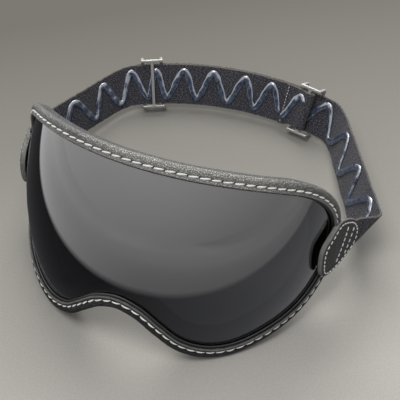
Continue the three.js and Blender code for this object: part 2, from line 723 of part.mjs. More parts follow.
function makeSewnEnd() {
  const eye = SLIDER_WIRE / 2 + CLEARANCE;
  const fold = eye + STRAP_THICKNESS;
  const eyeFront = FRONT_BAR_INNER - CLEARANCE;
  const eyeBack = FRONT_BAR_OUTER + CLEARANCE;
  const shape = new THREE.Shape();
  shape.moveTo(SEWN_LENGTH, sewnFront(SEWN_LENGTH));
  shape.lineTo(SEWN_LENGTH, STRAP_THICKNESS);
  shape.lineTo(FOLD_LENGTH, STRAP_THICKNESS);
  shape.lineTo(eye, eyeBack + STRAP_THICKNESS);
  shape.lineTo(-eye, eyeBack + STRAP_THICKNESS);
  shape.quadraticCurveTo(-fold, eyeBack + STRAP_THICKNESS, -fold, (eyeBack + eyeFront) / 2);
  shape.quadraticCurveTo(-fold, sewnFront(0), -eye, sewnFront(0));
  shape.lineTo(0, sewnFront(0));
  shape.lineTo(FOLD_LENGTH, sewnFront(FOLD_LENGTH));
  const hole = new THREE.Path();
  hole.moveTo(-eye, eyeBack);
  hole.lineTo(FOLD_LENGTH - STRAP_THICKNESS, eyeBack);
  hole.lineTo(eye, eyeFront);
  hole.lineTo(-eye, eyeFront);
  shape.holes.push(hole);
  const bottomInset = SLIDER_FILLET - SLIDER_BOTTOM_CLEARANCE + CLEARANCE;
  const topInset = Math.max(SLIDER_FILLET - SLIDER_TOP_CLEARANCE, 0) + CLEARANCE;
  const depth = STRAP_WIDTH - bottomInset - topInset;
  const settings = { depth, bevelEnabled: false, curveSegments: ROUND_STEPS };
  const flat = new THREE.ExtrudeGeometry(shape, settings);
  const bent = bentBody(flat, ({ x, y, z }) => (
    onLoop(SLIDER_RIGHT_ANGLE + x / LOOP_RADIUS, bottomInset + z, y)
  ));
  return piece('strap_left_sewn_end', bent, ELASTIC);
}

// Frame assembly, pitched back and lifted until its lower rim meets the ground
const frame = new THREE.Group();
frame.add(makeLens(), makeLensFrame(), ...makeBindings(), ...makeFaceSeal());
for (const [label, side] of [['left', -1], ['right', 1]]) {
  frame.add(makeTab(side, label), makeBacking(side, label));
}
frame.rotation.x = -FRAME_PITCH;
frame.position.z = -new THREE.Box3().setFromObject(frame, true).min.z;
frame.updateMatrixWorld(true);

// Strap assembly
const leftEnd = SLIDER_RIGHT_ANGLE + (SEWN_LENGTH + CLEARANCE) / LOOP_RADIUS;
const rightEnd = SLIDER_LEFT_ANGLE + (SLIDER_LENGTH / 2 + TAIL_LENGTH) / LOOP_RADIUS;
const leftEdges = strapEdges(frame, -1, 0, leftEnd);
const rightEdges = strapEdges(frame, 1, RIGHT_STRAP_INNER, rightEnd);

const strap = new THREE.Group();
strap.add(makeStrap('strap_left', leftEdges), makeStrap('strap_right', rightEdges), makeSewnEnd());
strap.add(makeSlider('slider_left', SLIDER_LEFT_ANGLE), makeSlider('slider_right', SLIDER_RIGHT_ANGLE));

// Grip beads: one wave along the left strap and over its sewn end, another along the right strap
const leftPlacer = strapPlacer(leftEdges);
const rightPlacer = strapPlacer(rightEdges);
const middleRadius = LOOP_RADIUS + STRAP_WIDTH / 2 * Math.sin(STRAP_LEAN);
const foldToRightEnd = (rightEnd - SLIDER_RIGHT_ANGLE) * middleRadius;
const placeOnSewnEnd = (along, across, depth) => {
  const toFold = SEWN_LENGTH + CLEARANCE - along * LOOP_RADIUS / middleRadius;
  const angle = SLIDER_RIGHT_ANGLE + toFold / LOOP_RADIUS;
  return onLoop(angle, STRAP_WIDTH / 2 + across, sewnFront(toFold) + depth);
};
const sewnTurns = BEAD_LEFT_TURNS.map((turn) => turn - leftPlacer.length);
const leftBeadStart = leftPlacer.runStart + BEAD_START_MARGIN;
const rightBeadStart = rightPlacer.runStart + BEAD_START_MARGIN;
const leftBeadEnd = leftPlacer.length - BEAD_END_MARGIN;
const rightBeadEnd = rightPlacer.length - foldToRightEnd;
strap.add(
  makeBead('grip_bead_left', leftPlacer.place, leftBeadStart, leftBeadEnd, BEAD_LEFT_TURNS),
  makeBead('grip_bead_sewn_end', placeOnSewnEnd, BEAD_END_MARGIN, SEWN_LENGTH, sewnTurns),
  makeBead('grip_bead_right', rightPlacer.place, rightBeadStart, rightBeadEnd, BEAD_RIGHT_TURNS),
);

const goggles = new THREE.Group();
goggles.add(frame, strap);

// Reference point: on the ground under the middle of the whole object
const extent = new THREE.Box3().setFromObject(goggles, true);
const middle = extent.getCenter(new THREE.Vector3());
goggles.position.set(-middle.x, -middle.y, 0);

export default goggles;
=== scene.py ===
import json
import math
from functools import partial

import bmesh
import bpy
import numpy as np
from mathutils import Matrix, Vector


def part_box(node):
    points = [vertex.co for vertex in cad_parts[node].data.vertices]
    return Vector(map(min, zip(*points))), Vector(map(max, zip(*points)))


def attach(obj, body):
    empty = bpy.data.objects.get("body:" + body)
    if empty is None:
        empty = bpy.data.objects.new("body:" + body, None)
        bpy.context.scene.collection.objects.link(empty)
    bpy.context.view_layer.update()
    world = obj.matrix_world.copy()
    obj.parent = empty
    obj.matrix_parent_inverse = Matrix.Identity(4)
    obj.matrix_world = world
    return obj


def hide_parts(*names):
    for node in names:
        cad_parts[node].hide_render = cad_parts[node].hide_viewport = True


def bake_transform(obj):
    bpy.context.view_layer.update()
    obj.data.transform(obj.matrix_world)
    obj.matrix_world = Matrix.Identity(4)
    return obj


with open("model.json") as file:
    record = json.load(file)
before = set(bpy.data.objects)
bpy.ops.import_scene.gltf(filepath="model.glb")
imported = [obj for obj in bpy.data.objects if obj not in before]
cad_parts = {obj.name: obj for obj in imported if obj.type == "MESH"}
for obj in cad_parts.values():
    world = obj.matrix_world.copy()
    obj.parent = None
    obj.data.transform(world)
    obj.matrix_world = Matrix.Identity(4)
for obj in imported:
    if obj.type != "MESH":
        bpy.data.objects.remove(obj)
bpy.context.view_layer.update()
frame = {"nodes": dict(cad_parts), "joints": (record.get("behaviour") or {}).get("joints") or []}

# Lens sheet and its edge, in millimetres, as in the part
MM = 0.001
LENS_HALF_WIDTH = 95
LENS_PLAN_DEPTH = 88.4
LENS_BULGE_RADIUS = 160
LENS_THICKNESS = 1.8
LENS_TUCK = 3.6
LENS_STEPS = 288
LENS_RINGS = 26
BROW_RISE = 33.8
LOBE_DROP = 69.3
NOSE_DROP = 43.6
FRAME_PITCH = math.radians(26.3)
EDGE_SHAPE = [
    (0, 1), (43, 0.947), (61.5, 0.808), (72.4, 0.553), (79, 0.237), (82.9, -0.173),
    (82.6, -0.375), (76, -0.62), (57.9, -0.874), (45.8, -0.982), (35, -1),
]
NOTCH_SHAPE = [(24.7, 0.163), (16.6, 0.498), (8.3, 0.86), (0, 1)]
EDGE_SPAN_STEPS = 80
CAD_EDGE_STEPS = 72
FINE_STEPS = 4000
CLEARANCE = 0.3
SIDES = {"left": -1, "right": 1}

# Rings round the lens: profile points are distances outwards from its edge and depths in front of it
CHANNEL_REVEAL = 0.9
CHANNEL_STEPS = 560
CHANNEL_PROFILE = [
    (-0.9, 0.5), (-0.86, 0.95), (-0.6, 1.2), (5.0, 1.2), (5.2, 1.0), (5.2, -2.8), (5.0, -3.0),
    (-0.6, -3.0), (-0.9, -2.7), (-0.9, -2.1), (3.9, -2.1), (3.9, 0.3), (-0.7, 0.3),
]
SEAL_STEPS = 620
FOAM_PROFILE = [
    (-0.9, -3.3), (2, -3.3), (5.1, -3.35), (5.4, -5.8), (5.2, -8.8), (4.4, -10.6), (2.8, -11.25),
    (0, -11.3), (-2.3, -11.2), (-3.1, -10.2), (-3.1, -8.6), (-2.4, -6.2), (-1.3, -4.2),
]
FOAM_SPAN_STEPS = 3
FOAM_LUMPS = 0.16
FLEECE_PROFILE = [
    (3.1, -11.36), (3.5, -11.9), (3.3, -12.7), (2.2, -13.1), (0, -13.2), (-2.1, -13.1), (-3.2, -12.7),
    (-3.4, -11.9), (-3, -11.36), (0, -11.4),
]
FLEECE_SPAN_STEPS = 4
FLEECE_LUMPS = 0.12
LUMP_WAVES = (5, 26)
DIMPLE_WAVES = (4, 12)
DIMPLE_SKEW = 3
DIMPLE_SHARE = 0.6
SOFT_FROM = -4
SOFT_RAMP = 4

# Leather binding
BINDING_SEAM_HEIGHT = -8
BINDING_SEAM_GAP = 0.1
BINDING_STEP = 0.55
BINDING_PROFILE = [
    (0.05, 1.55), (-0.1, 2.2), (0.0, 2.8), (0.35, 3.12), (0.85, 3.06), (1.75, 2.94), (2.3, 2.64),
    (2.85, 2.95), (3.55, 3.42), (4.5, 3.64), (5.5, 3.45), (6.35, 2.85), (6.95, 1.8), (7.14, 0.2),
    (7.14, -2.2), (7.1, -4.3), (6.85, -4.95), (6.3, -5.1), (5.75, -4.9), (5.5, -4.2), (5.48, -1.5),
    (5.4, 1.3), (4.6, 1.52), (2.4, 1.5), (0.6, 1.48),
]
BINDING_SPAN_STEPS = 2
BINDING_FRONT = 1.8
BINDING_REAR = -4.6
WANDER = 0.07
WANDER_WAVES = (24, 70)
SLIM_SIDE = 1.1
SLIM_MIDDLE = 190
SLIM_REACH = 34
SLIM_FROM = 3
SLIM_RAMP = 4

# Holes, pulled stitches and crimps of the binding, with its painted shade, painted highlight and painted
# sheen
HOLE_LENGTH = 0.72
HOLE_WIDTH = 0.55
HOLE_DEPTH = 0.6
HOLE_SHADE = 1.6
PULL_LENGTH = 1.5
PULL_WIDTH = 1.6
PULL_DEPTH = 0.16
PUFF_LINE = 3.3
PUFF_WIDTH = 1.0
PUFF_HEIGHT = 0.07
ROLL_LINE = 4.9
ROLL_WIDTH = 1.7
CRIMP_HEIGHT = 0.05
CRIMP_WAVES = (1.3, 2.6)
LEFT_CRIMP_HEIGHT = 0.13
LEFT_CRIMP_MIDDLE = -38
LEFT_CRIMP_REACH = 30
LIP_HEIGHT = 0.05
LIP_WAVES = (5, 14)
LIP_WIDTH = 0.8
# Painted highlight along the crest of the binding's lip
LIP_HIGHLIGHT_LINE = 0.15
LIP_HIGHLIGHT_WIDTH = 0.35
LIP_HIGHLIGHT_FRONT = 2.2
LIP_HIGHLIGHT_STRENGTH = 0.8
WALL_TOP = 2.3
WALL_FADE = 0.7
WALL_LINE = 6
WALL_SHADE = 0.85
# Painted sheen: the brow binding is drawn lighter grey over its middle
SHEEN_MIDDLE = 28
SHEEN_REACH = 58

# Side tabs: points are distances back and heights, and insets count from the cut edge
TAB_TANGENT_WRAP = math.radians(78)
TAB_INNER = 3.8
TAB_THICKNESS = 1.8
TAB_OUTER = TAB_INNER + TAB_THICKNESS
TAB_STEPS = 220
TAB_MIDDLE = (11, -8)
TAB_SHAPE = [
    (-8.8, -5.4), (-2.3, 2.6), (4.7, 7.7), (16.5, 6.8), (26.5, 3), (33.5, -5),
    (33, -13), (23.5, -20.5), (9.5, -26), (0.3, -24.8), (-6.7, -15.8),
]
TAB_SPAN_STEPS = 24
TAB_INSETS = [0, 0.06, 0.2, 0.42, 0.7, 1.0, 1.4, 1.75, 2.1, 2.45, 2.9, 3.6, 4.6]
TAB_SHARES = [0.86, 0.7, 0.54, 0.38, 0.22, 0.1]
TAB_FLAT_INSET = 8.0
TAB_ROUND_DROP = 0.75
TAB_ROUND_WIDTH = 0.9
TAB_GROOVE_DEPTH = 0.16
TAB_GROOVE_WIDTH = 0.55
TAB_CROWN = 0.12
TAB_CROWN_FROM = 2.5
TAB_CROWN_RAMP = 4
TAB_CUT_WIDTH = 0.5
TAB_UNDERCUT = 0.35
HEM_DEPTH = 1.5
HEM_WIDTH = 0.8
HEM_FADE = 1.0
HEM_GAP = 0.4
HEM_RAMP = 1.2

# Backing patches: each ring is a share of the patch and how far its edge is rounded there
BACKING_OUTER = 1.7
BACKING_THICKNESS = 1.4
BACKING_MARGIN = 1
BACKING_LENGTH = 13
BACKING_STEPS = 160
BACKING_SQUARENESS = 0.3
BACKING_RINGS = [(1, 0.45), (0.985, 0.2), (0.95, 0.04), (0.9, 0), (0.78, 0), (0.6, 0), (0.4, 0), (0.2, 0)]
BACKING_SEAM_SHARE = 0.82

# Straps, their bends at the tabs and the rear loop
STRAP_WIDTH = 28
STRAP_THICKNESS = 1.5
STRAP_LEAN = math.radians(30)
STRAP_TAB_INNER = 2.0
STRAP_TAB_START = 17
STRAP_TAB_END = 36
STRAP_TAB_TOP = 1
STRAP_TAB_BOTTOM = -14
LOOP_RADIUS = 160
LOOP_START = {-1: math.radians(31.1), 1: math.radians(-16.2)}
CORNER_LENGTH = 6
CORNER_RUN_LENGTH = 18
BEND_OFFSET = {-1: (-2.5, 12, -17.9), 1: (0.5, 6.4, -9)}
BEND_LEAN = {-1: math.radians(20), 1: math.radians(30)}
BEND_ROUNDING = 3
RIGHT_STRAP_INNER = 3.1
EXIT_STEPS = 16
BEND_STEPS = 12
RUN_STEPS = 60
CORNER_STEPS = 30
LOOP_STEP = 1.2
BAND_STEP = 0.9
BAND_SWAY = 0.12
BAND_SWAY_WAVES = (14, 50)
BAND_FRAY = 0.12
BAND_FRAY_WAVES = (2.5, 9)
BAND_FREE_RAMP = 20
# Strength of the pale edges, brightened as a painted highlight
SELVAGE_HIGHLIGHT_SHARE = 0.7
NORMAL_WEIGHTS = np.array([1, 2, 3, 2, 1]) / 9
NORMAL_PASSES = 3

# Sliders and the end of the left strap, folded and sewn round the right slider's bar
SLIDER_LENGTH = 15
SLIDER_OVERHANG = 2.3
SLIDER_ROUNDING = 0.45
SLIDER_ROUND_STEPS = 3
SLIDER_WELD = 0.02
SLIDER_FLAT_ANGLE = math.radians(2)
SLIDER_SHARP_ANGLE = math.radians(40)
REAR_BAR_OUTER = 6.9
LOOP_EDGE_HEIGHT = SLIDER_OVERHANG * math.cos(STRAP_LEAN) + REAR_BAR_OUTER * math.sin(STRAP_LEAN)
SLIDER_LEFT_ANGLE = math.radians(26.5)
SLIDER_RIGHT_ANGLE = math.radians(-10.9)
STRETCH_ANGLE = math.radians(18)
SEWN_LENGTH = 16
SEWN_LAP = 2
SEWN_THICKNESS = STRAP_THICKNESS - 0.12
SEWN_LOW_INSET = 1.5
SEWN_HIGH_INSET = 0.3
SEWN_INSET_FROM = 13
SEWN_INSET_RAMP = 6
SEWN_FRONT = -1.8
SEWN_FRONT_GAP = 0.1
SEWN_STEPS = 150
SEWN_SPAN_STEPS = 9
SEWN_PATH = [
    (14.05, 0.75), (10.5, 0.75), (7.6, 0.72), (4.6, 0.2), (1.6, -0.5), (-1.2, -0.6), (-2.75, -1.3),
    (-3.3, -2.6), (-2.75, -3.95), (-1.2, -4.65), (0.6, -4.4), (4.2, -2.65), (7.6, -1.15), (11, -1.05),
    (16, -1.05),
]
FOLD_LENGTH = 7.6
FOLD_FRONT = -5.4
TAIL_LENGTH = 2

# Grip bead: turns are the distances along the strap at which the wave is highest or lowest
BEAD_WIDTH = 4.4
BEAD_HEIGHT = 1.45
BEAD_SWING = 9.3
BEAD_STEP = 0.35
BEAD_START_MARGIN = 1
BEAD_SEWN_GAP = 0.1
BEAD_FOLD_MARGIN = 0.2
BEAD_UNEVEN = 0.06
BEAD_WAVES = (6, 24)
BEAD_FULLNESS = 0.6
BEAD_ROUND_STEPS = 13
BEAD_TIP = 0.02
BEAD_FOOT = [(-0.5, -0.12), (0.5, -0.12)]
BEAD_LEFT_TURNS = [
    62, 78, 86, 101.5, 111, 121.5, 128, 134.5, 147, 156, 167, 178, 189, 198, 207.5, 218.5,
]
BEAD_RIGHT_TURNS = [44, 63.5, 73, 95, 104.5, 129, 140, 158]

# Stitching: dip, arch and taper are shares of the thread's radius
STITCH_DIP = -0.75
STITCH_ARCH = 1.5
STITCH_TAPER = -0.4
STITCH_BEND_STEPS = 6
STITCH_ROUND_STEPS = 7
STITCH_SMALLEST = (0.93, 0.9, 0.85)
STITCH_LARGEST = (1.05, 1.08, 1.1)
STITCH_SEED = 5
RIM_STITCH_PITCH = 6
RIM_STITCH_LENGTH = 5.2
RIM_STITCH_LINE = 2.3
RIM_STITCH_DEPTH = 2.74
RIM_STITCH_TOP = 4.0
RIM_STITCH_SLANT = math.radians(7)
RIM_HOLE_DEPTH = 3.0
RIM_THREAD_RADIUS = 0.52
TAB_STITCH_PITCH = 3.2
TAB_STITCH_LENGTH = 2.5
TAB_STITCH_INSET = 2.1
TAB_THREAD_RADIUS = 0.42
TAB_SEAM_STEPS = 400
TAB_ROW_STEPS = 30
TAB_STRAP_ROWS = [((11.5, -19), (14.5, 3)), ((20.5, -16.5), (23.5, 0.5))]
FOLD_STITCH_LENGTH = 1.3
FOLD_THREAD_RADIUS = 0.2
FOLD_SEAM_INSET = 1.6
FOLD_SEAM_MARGIN = 1.2
FOLD_SEAM_HOLES = 13
FOLD_SEAM_SINK = 0.02

# Camera fitted to the photograph, measured from the middle of the lens curve
CAMERA_AZIMUTH = 0.3954
CAMERA_ELEVATION = 0.8332
CAMERA_DISTANCE = 614.78
CAMERA_SIDE = 8.447
CAMERA_RISE = -13.109
CAMERA_LENS = 92.70
CAMERA_SENSOR = 36

rng = np.random.default_rng(11)


# Plain geometry in millimetres

def unit(v):
    return v / np.linalg.norm(v, axis=-1, keepdims=True)


def alike(*values):
    """The values as number arrays of one shape."""
    return np.broadcast_arrays(*(np.asarray(value, float) for value in values))


def distances(points):
    """Distance of each point along a row of points."""
    return np.append(0, np.cumsum(np.linalg.norm(np.diff(points, axis=0), axis=1)))


def girth_of(profile):
    """Distance of each point round a closed profile, and the whole way round."""
    return distances(np.concatenate([profile, profile[:1]]))


def read_along(run, values, at):
    """Values between the points of a row, by distance along it."""
    return np.stack([np.interp(at, run, column) for column in values.T], -1)


def left_of(ahead):
    return np.stack([-ahead[..., 1], ahead[..., 0]], -1)


def ripple(x, shortest, longest, loop=None, count=9):
    """Smooth seeded ripple of about unit height along a distance, closing after a loop's length."""
    waves = np.exp(rng.uniform(math.log(shortest), math.log(longest), count))
    if loop:
        waves = loop / np.round(loop / waves)
    turns = rng.uniform(0, 2 * math.pi, count)
    total = sum(np.sin(2 * math.pi * x / w + t) for w, t in zip(waves, turns))
    return total / math.sqrt(count / 2)


def smooth_step(x):
    x = np.clip(x, 0, 1)
    return x * x * (3 - 2 * x)


def hump(x, middle, reach, power=2):
    """Smooth hump of unit height round a middle, flatter on top with a higher power."""
    return np.exp(-((x - middle) / reach) ** power)


def catmull_rom(points, steps, closed=True):
    """Centripetal curve through the points, with an even number of steps for each span."""
    points = np.asarray(points, float)
    if closed:
        padded = np.concatenate([points[-1:], points, points[:2]])
    else:
        first = 2 * points[0] - points[1]
        last = 2 * points[-1] - points[-2]
        padded = np.concatenate([[first], points, [last]])
    curve = []
    share = np.arange(steps)[:, None] / steps
    for p0, p1, p2, p3 in zip(padded, padded[1:], padded[2:], padded[3:]):
        d0, d1, d2 = (max(np.linalg.norm(b - a) ** 0.5, 1e-4) for a, b in ((p0, p1), (p1, p2), (p2, p3)))
        t1 = ((p1 - p0) / d0 - (p2 - p0) / (d0 + d1) + (p2 - p1) / d1) * d1
        t2 = ((p2 - p1) / d1 - (p3 - p1) / (d1 + d2) + (p3 - p2) / d2) * d1
        a = 2 * p1 - 2 * p2 + t1 + t2
        b = -3 * p1 + 3 * p2 - 2 * t1 - t2
        curve.append(p1 + share * (t1 + share * (b + share * a)))
    curve = np.concatenate(curve)
    return curve if closed else np.concatenate([curve, points[-1:]])


class Track:
    """A polyline read by distance along it, closed or open."""

    def __init__(self, points, closed):
        self.points = np.concatenate([points, points[:1]]) if closed else np.asarray(points, float)
        self.run = distances(self.points)
        self.length = self.run[-1]
        self.closed = closed
        if closed:
            ring = self.points[:-1]
            ahead = np.roll(ring, -1, axis=0) - np.roll(ring, 1, axis=0)
            self.heading = unit(np.concatenate([ahead, ahead[:1]]))
        else:
            self.heading = unit(np.gradient(self.points, axis=0))

    def read(self, values, at):
        return read_along(self.run, values, np.mod(at, self.length) if self.closed else at)

    def spaced(self, count):
        """Distances of evenly spaced places, without the end of the track."""
        return np.arange(count) * self.length / count

    def place(self, at):
        return self.read(self.points, at)

    def along(self, at):
        return unit(self.read(self.heading, at))

    def beside(self, at, sideways):
        """Place at a distance to the left of the track, for flat tracks."""
        at, sideways = alike(at, sideways)
        return self.place(at) + left_of(self.along(at)) * sideways[..., None]


def plan_curve(wrap):
    """Point and heading of the lens curve seen from above, by angle from the middle."""
    flat = np.zeros_like(wrap)
    point = np.stack([LENS_HALF_WIDTH * np.sin(wrap), -LENS_PLAN_DEPTH * np.cos(wrap), flat], -1)
    along = np.stack([LENS_HALF_WIDTH * np.cos(wrap), LENS_PLAN_DEPTH * np.sin(wrap), flat], -1)
    return point, along


def on_bulge(plan, along, height, depth):
    """Place at a height on the bulged wall over a plan point, at a depth along its normal."""
    out = unit(np.stack([along[..., 1], -along[..., 0], np.zeros_like(height)], -1))
    rise = np.zeros_like(out)
    rise[..., 2] = 1
    normal = unit(out + rise * (height / LENS_BULGE_RADIUS)[..., None])
    inset = height ** 2 / (2 * LENS_BULGE_RADIUS)
    return plan - out * inset[..., None] + rise * height[..., None] + normal * depth[..., None]


def pitched(p):
    """Place turned with the frame, which lies tilted on its lower rim."""
    c = math.cos(FRAME_PITCH)
    s = math.sin(FRAME_PITCH)
    return np.stack([p[..., 0], p[..., 1] * c + p[..., 2] * s, p[..., 2] * c - p[..., 1] * s], -1)


def lens_place(round_, height, depth):
    """Place on the lens by distance round it, height and depth, from the middle of the lens curve."""
    round_, height, depth = alike(round_, height, depth)
    point, along = plan_curve(round_ / LENS_HALF_WIDTH)
    return pitched(on_bulge(point, along, height, depth))


def edge_outline():
    """Edge of the lens in distance round it and height."""
    half = [(wrap, share * (BROW_RISE if share > 0 else LOBE_DROP)) for wrap, share in EDGE_SHAPE]
    half += [(wrap, -LOBE_DROP + share * (LOBE_DROP - NOSE_DROP)) for wrap, share in NOTCH_SHAPE]
    half = [(math.radians(wrap) * LENS_HALF_WIDTH, height) for wrap, height in half]
    mirror = [(-x, y) for x, y in half[-2:0:-1]]
    return Track(catmull_rom(half + mirror, EDGE_SPAN_STEPS), True)


EDGE = edge_outline()


def lens_offset():
    """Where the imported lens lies, as the offset of the lens curve's middle."""
    flat = EDGE.beside(EDGE.spaced(CAD_EDGE_STEPS), LENS_TUCK)
    rim = [lens_place(flat[:, 0], flat[:, 1], depth) for depth in (0, -LENS_THICKNESS)]
    low = np.min(np.concatenate(rim), axis=0)
    high = np.max(np.concatenate(rim), axis=0)
    box = np.array(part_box("lens")) / MM
    return np.array([
        (box[0][0] + box[1][0]) / 2,
        box[1][1] - high[1],
        (box[0][2] - low[2] + box[1][2] - high[2]) / 2,
    ])


LENS_MIDDLE = lens_offset()
LOOP_CENTRE = np.array(frame["joints"][0]["pos_m"][:2]) / MM


def on_lens(round_, height, depth):
    return lens_place(round_, height, depth) + LENS_MIDDLE


def on_edge(at, outwards, depth):
    """Place beside the lens edge by distance along it, distance outwards and depth."""
    at, outwards, depth = alike(at, outwards, depth)
    flat = EDGE.beside(at, outwards)
    return on_lens(flat[..., 0], flat[..., 1], depth)


def on_side(side, back, height, depth):
    """Place on a side tab's sheet by distance back, height and depth."""
    back, height, depth = alike(back, height, depth)
    _, tangent = plan_curve(np.array(TAB_TANGENT_WRAP))
    stretch = np.linalg.norm(tangent)
    point, along = plan_curve(TAB_TANGENT_WRAP + np.minimum(back, 0) / stretch)
    plan = point + tangent / stretch * np.maximum(back, 0)[..., None]
    place = on_bulge(plan, along, height, depth)
    place[..., 0] *= side
    return pitched(place) + LENS_MIDDLE


def on_loop(angle, across, depth):
    """Place on the rear loop by angle, height up the leaning band and depth outwards."""
    angle, across, depth = alike(angle, across, depth)
    reach = LOOP_RADIUS + across * math.sin(STRAP_LEAN) + depth * math.cos(STRAP_LEAN)
    return np.stack([
        LOOP_CENTRE[0] - reach * np.sin(angle),
        LOOP_CENTRE[1] + reach * np.cos(angle),
        LOOP_EDGE_HEIGHT + across * math.cos(STRAP_LEAN) - depth * math.sin(STRAP_LEAN),
    ], -1)


# Meshes

def add_object(name, data):
    item = bpy.data.objects.new(name, data)
    bpy.context.scene.collection.objects.link(item)
    return item


def finished(mesh, material):
    """Object of a mesh with smooth shading and one material."""
    mesh.polygons.foreach_set("use_smooth", [True] * len(mesh.polygons))
    mesh.materials.append(material)
    return add_object(mesh.name, mesh)


def make_piece(name, points, faces, material, uv=None, marks=None):
    """Mesh object from points in millimetres, with faces turned outwards if they close a volume."""
    mesh = bpy.data.meshes.new(name)
    mesh.from_pydata((np.asarray(points) * MM).tolist(), [], faces)
    if uv is not None:
        layer = mesh.uv_layers.new(name="UVMap")
        layer.data.foreach_set("uv", np.asarray(uv, np.float32).ravel())
    for key, values in (marks or {}).items():
        mark = mesh.attributes.new(key, "FLOAT", "POINT")
        mark.data.foreach_set("value", np.asarray(values, np.float32).ravel())
    shape = bmesh.new()
    shape.from_mesh(mesh)
    if shape.calc_volume(signed=True) < 0:
        bmesh.ops.reverse_faces(shape, faces=shape.faces)
    shape.to_mesh(mesh)
    shape.free()
    return finished(mesh, material)


def swept_piece(name, rows, material, ring, run, girth=None, marks=None):
    """Closed tube through rows of one closed profile, as a ring or with flat ends."""
    count, size = rows.shape[:2]
    spans = count if ring else count - 1
    girth = np.arange(size + 1.0) if girth is None else girth
    faces = []
    uv = []
    for i in range(spans):
        here = i * size
        ahead = (i + 1) % count * size
        for j in range(size):
            k = (j + 1) % size
            faces.append((here + j, ahead + j, ahead + k, here + k))
            corners = ((i, j), (i + 1, j), (i + 1, j + 1), (i, j + 1))
            uv += [(run[along], girth[across]) for along, across in corners]
    if not ring:
        last = (count - 1) * size
        faces += [tuple(range(size)), tuple(range(last + size - 1, last - 1, -1))]
        uv += [(run[0], girth[j]) for j in range(size)]
        uv += [(run[-1], girth[j]) for j in reversed(range(size))]
    return make_piece(name, rows.reshape(-1, 3), faces, material, np.array(uv) * MM, marks)


def ride(piece, body, slot, *nodes):
    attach(piece, body)
    if nodes:
        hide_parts(*nodes)
    return piece


# Material helpers

def new_material(name, roughness, **plain):
    """Material with one Principled shader; plain values are set on the shader's own sockets."""
    material = bpy.data.materials.new(name)
    material.use_nodes = True
    shader = material.node_tree.nodes["Principled BSDF"]
    shader.inputs["Roughness"].default_value = roughness
    for key, value in plain.items():
        shader.inputs[key.replace("_", " ")].default_value = value
    return material, material.node_tree, shader


def feed(tree, node, **sockets):
    """Links into a node's sockets, with underscores for the spaces in their names."""
    for key, output in sockets.items():
        tree.links.new(output, node.inputs[key.replace("_", " ")])


def add_node(tree, kind, inputs=None, **settings):
    """Node with its settings, and with each input linked or set."""
    node = tree.nodes.new(kind)
    for key, value in settings.items():
        setattr(node, key, value)
    for key, value in (inputs or {}).items():
        if isinstance(value, bpy.types.NodeSocket):
            tree.links.new(value, node.inputs[key])
        else:
            node.inputs[key].default_value = value
    return node


def maths(tree, operation, a, b=0.0, c=None):
    inputs = {0: a, 1: b}
    if c is not None:
        inputs[2] = c
    return add_node(tree, "ShaderNodeMath", inputs, operation=operation).outputs[0]


def vector_maths(tree, operation, inputs):
    return add_node(tree, "ShaderNodeVectorMath", inputs, operation=operation).outputs


def remap(tree, value, low, high, to_low=0.0, to_high=1.0):
    node = add_node(tree, "ShaderNodeMapRange", {
        "Value": value, "From Min": low, "From Max": high, "To Min": to_low, "To Max": to_high,
    })
    return node.outputs[0]


def mix_colour(tree, share, a, b):
    return add_node(tree, "ShaderNodeMix", {0: share, 6: a, 7: b}, data_type="RGBA").outputs[2]


def mix_shader(tree, share, a, b):
    return add_node(tree, "ShaderNodeMixShader", {0: share, 1: a.outputs[0], 2: b.outputs[0]})


def grey(level, tint=(1, 1, 1)):
    return (level * tint[0], level * tint[1], level * tint[2], 1)


def object_coords(tree):
    return add_node(tree, "ShaderNodeTexCoord").outputs["Object"]


def noise(tree, vector, scale, detail=3.0, roughness=0.5):
    return add_node(tree, "ShaderNodeTexNoise", {
        "Vector": vector, "Scale": scale, "Detail": detail, "Roughness": roughness,
    }).outputs[0]


def cells(tree, vector, scale, feature="F1", **inputs):
    return add_node(tree, "ShaderNodeTexVoronoi", {
        "Vector": vector, "Scale": scale, **inputs,
    }, feature=feature).outputs["Distance"]


def wave(tree, value, pitch):
    """Sine of a value, with one wave for each pitch."""
    return maths(tree, "SINE", maths(tree, "MULTIPLY", value, 2 * math.pi / pitch))


def bump(tree, shader, height, distance, strength=1.0):
    node = add_node(tree, "ShaderNodeBump", {"Height": height, "Distance": distance, "Strength": strength})
    feed(tree, shader, Normal=node.outputs[0])


def attribute(tree, name):
    return add_node(tree, "ShaderNodeAttribute", attribute_name=name).outputs["Fac"]


def new_group(name, inputs, outputs):
    """Shader node group with named number and vector inputs and number outputs."""
    group = bpy.data.node_groups.new(name, "ShaderNodeTree")
    for key, kind in inputs:
        group.interface.new_socket(key, in_out="INPUT", socket_type=kind)
    for key in outputs:
        group.interface.new_socket(key, in_out="OUTPUT", socket_type="NodeSocketFloat")
    return group, group.nodes.new("NodeGroupInput").outputs, group.nodes.new("NodeGroupOutput")


def grain_group():
    """Leather grain: rounded pebbles with creases between them, uneven in size."""
    sockets = [("Place", "NodeSocketVector"), ("Pebbles per Metre", "NodeSocketFloat")]
    group, ins, outs = new_group("leather_grain", sockets, ["Height", "Crease"])
    sway = add_node(group, "ShaderNodeTexNoise", {"Vector": ins[0], "Scale": 260.0, "Detail": 2.0})
    shift = vector_maths(group, "SUBTRACT", {0: sway.outputs["Color"], 1: (0.5, 0.5, 0.5)})[0]
    small = vector_maths(group, "SCALE", {0: shift, "Scale": 0.0016})[0]
    place = vector_maths(group, "ADD", {0: ins[0], 1: small})[0]
    pebble = cells(group, place, ins[1], "SMOOTH_F1", Smoothness=0.35)
    border = cells(group, place, ins[1], "DISTANCE_TO_EDGE")
    crease = remap(group, border, 0.0, 0.22, 1.0, 0.0)
    dome = remap(group, pebble, 0.0, 0.7, 1.0, 0.0)
    feed(group, outs, Height=maths(group, "MULTIPLY_ADD", crease, -0.6, dome), Crease=crease)
    return group


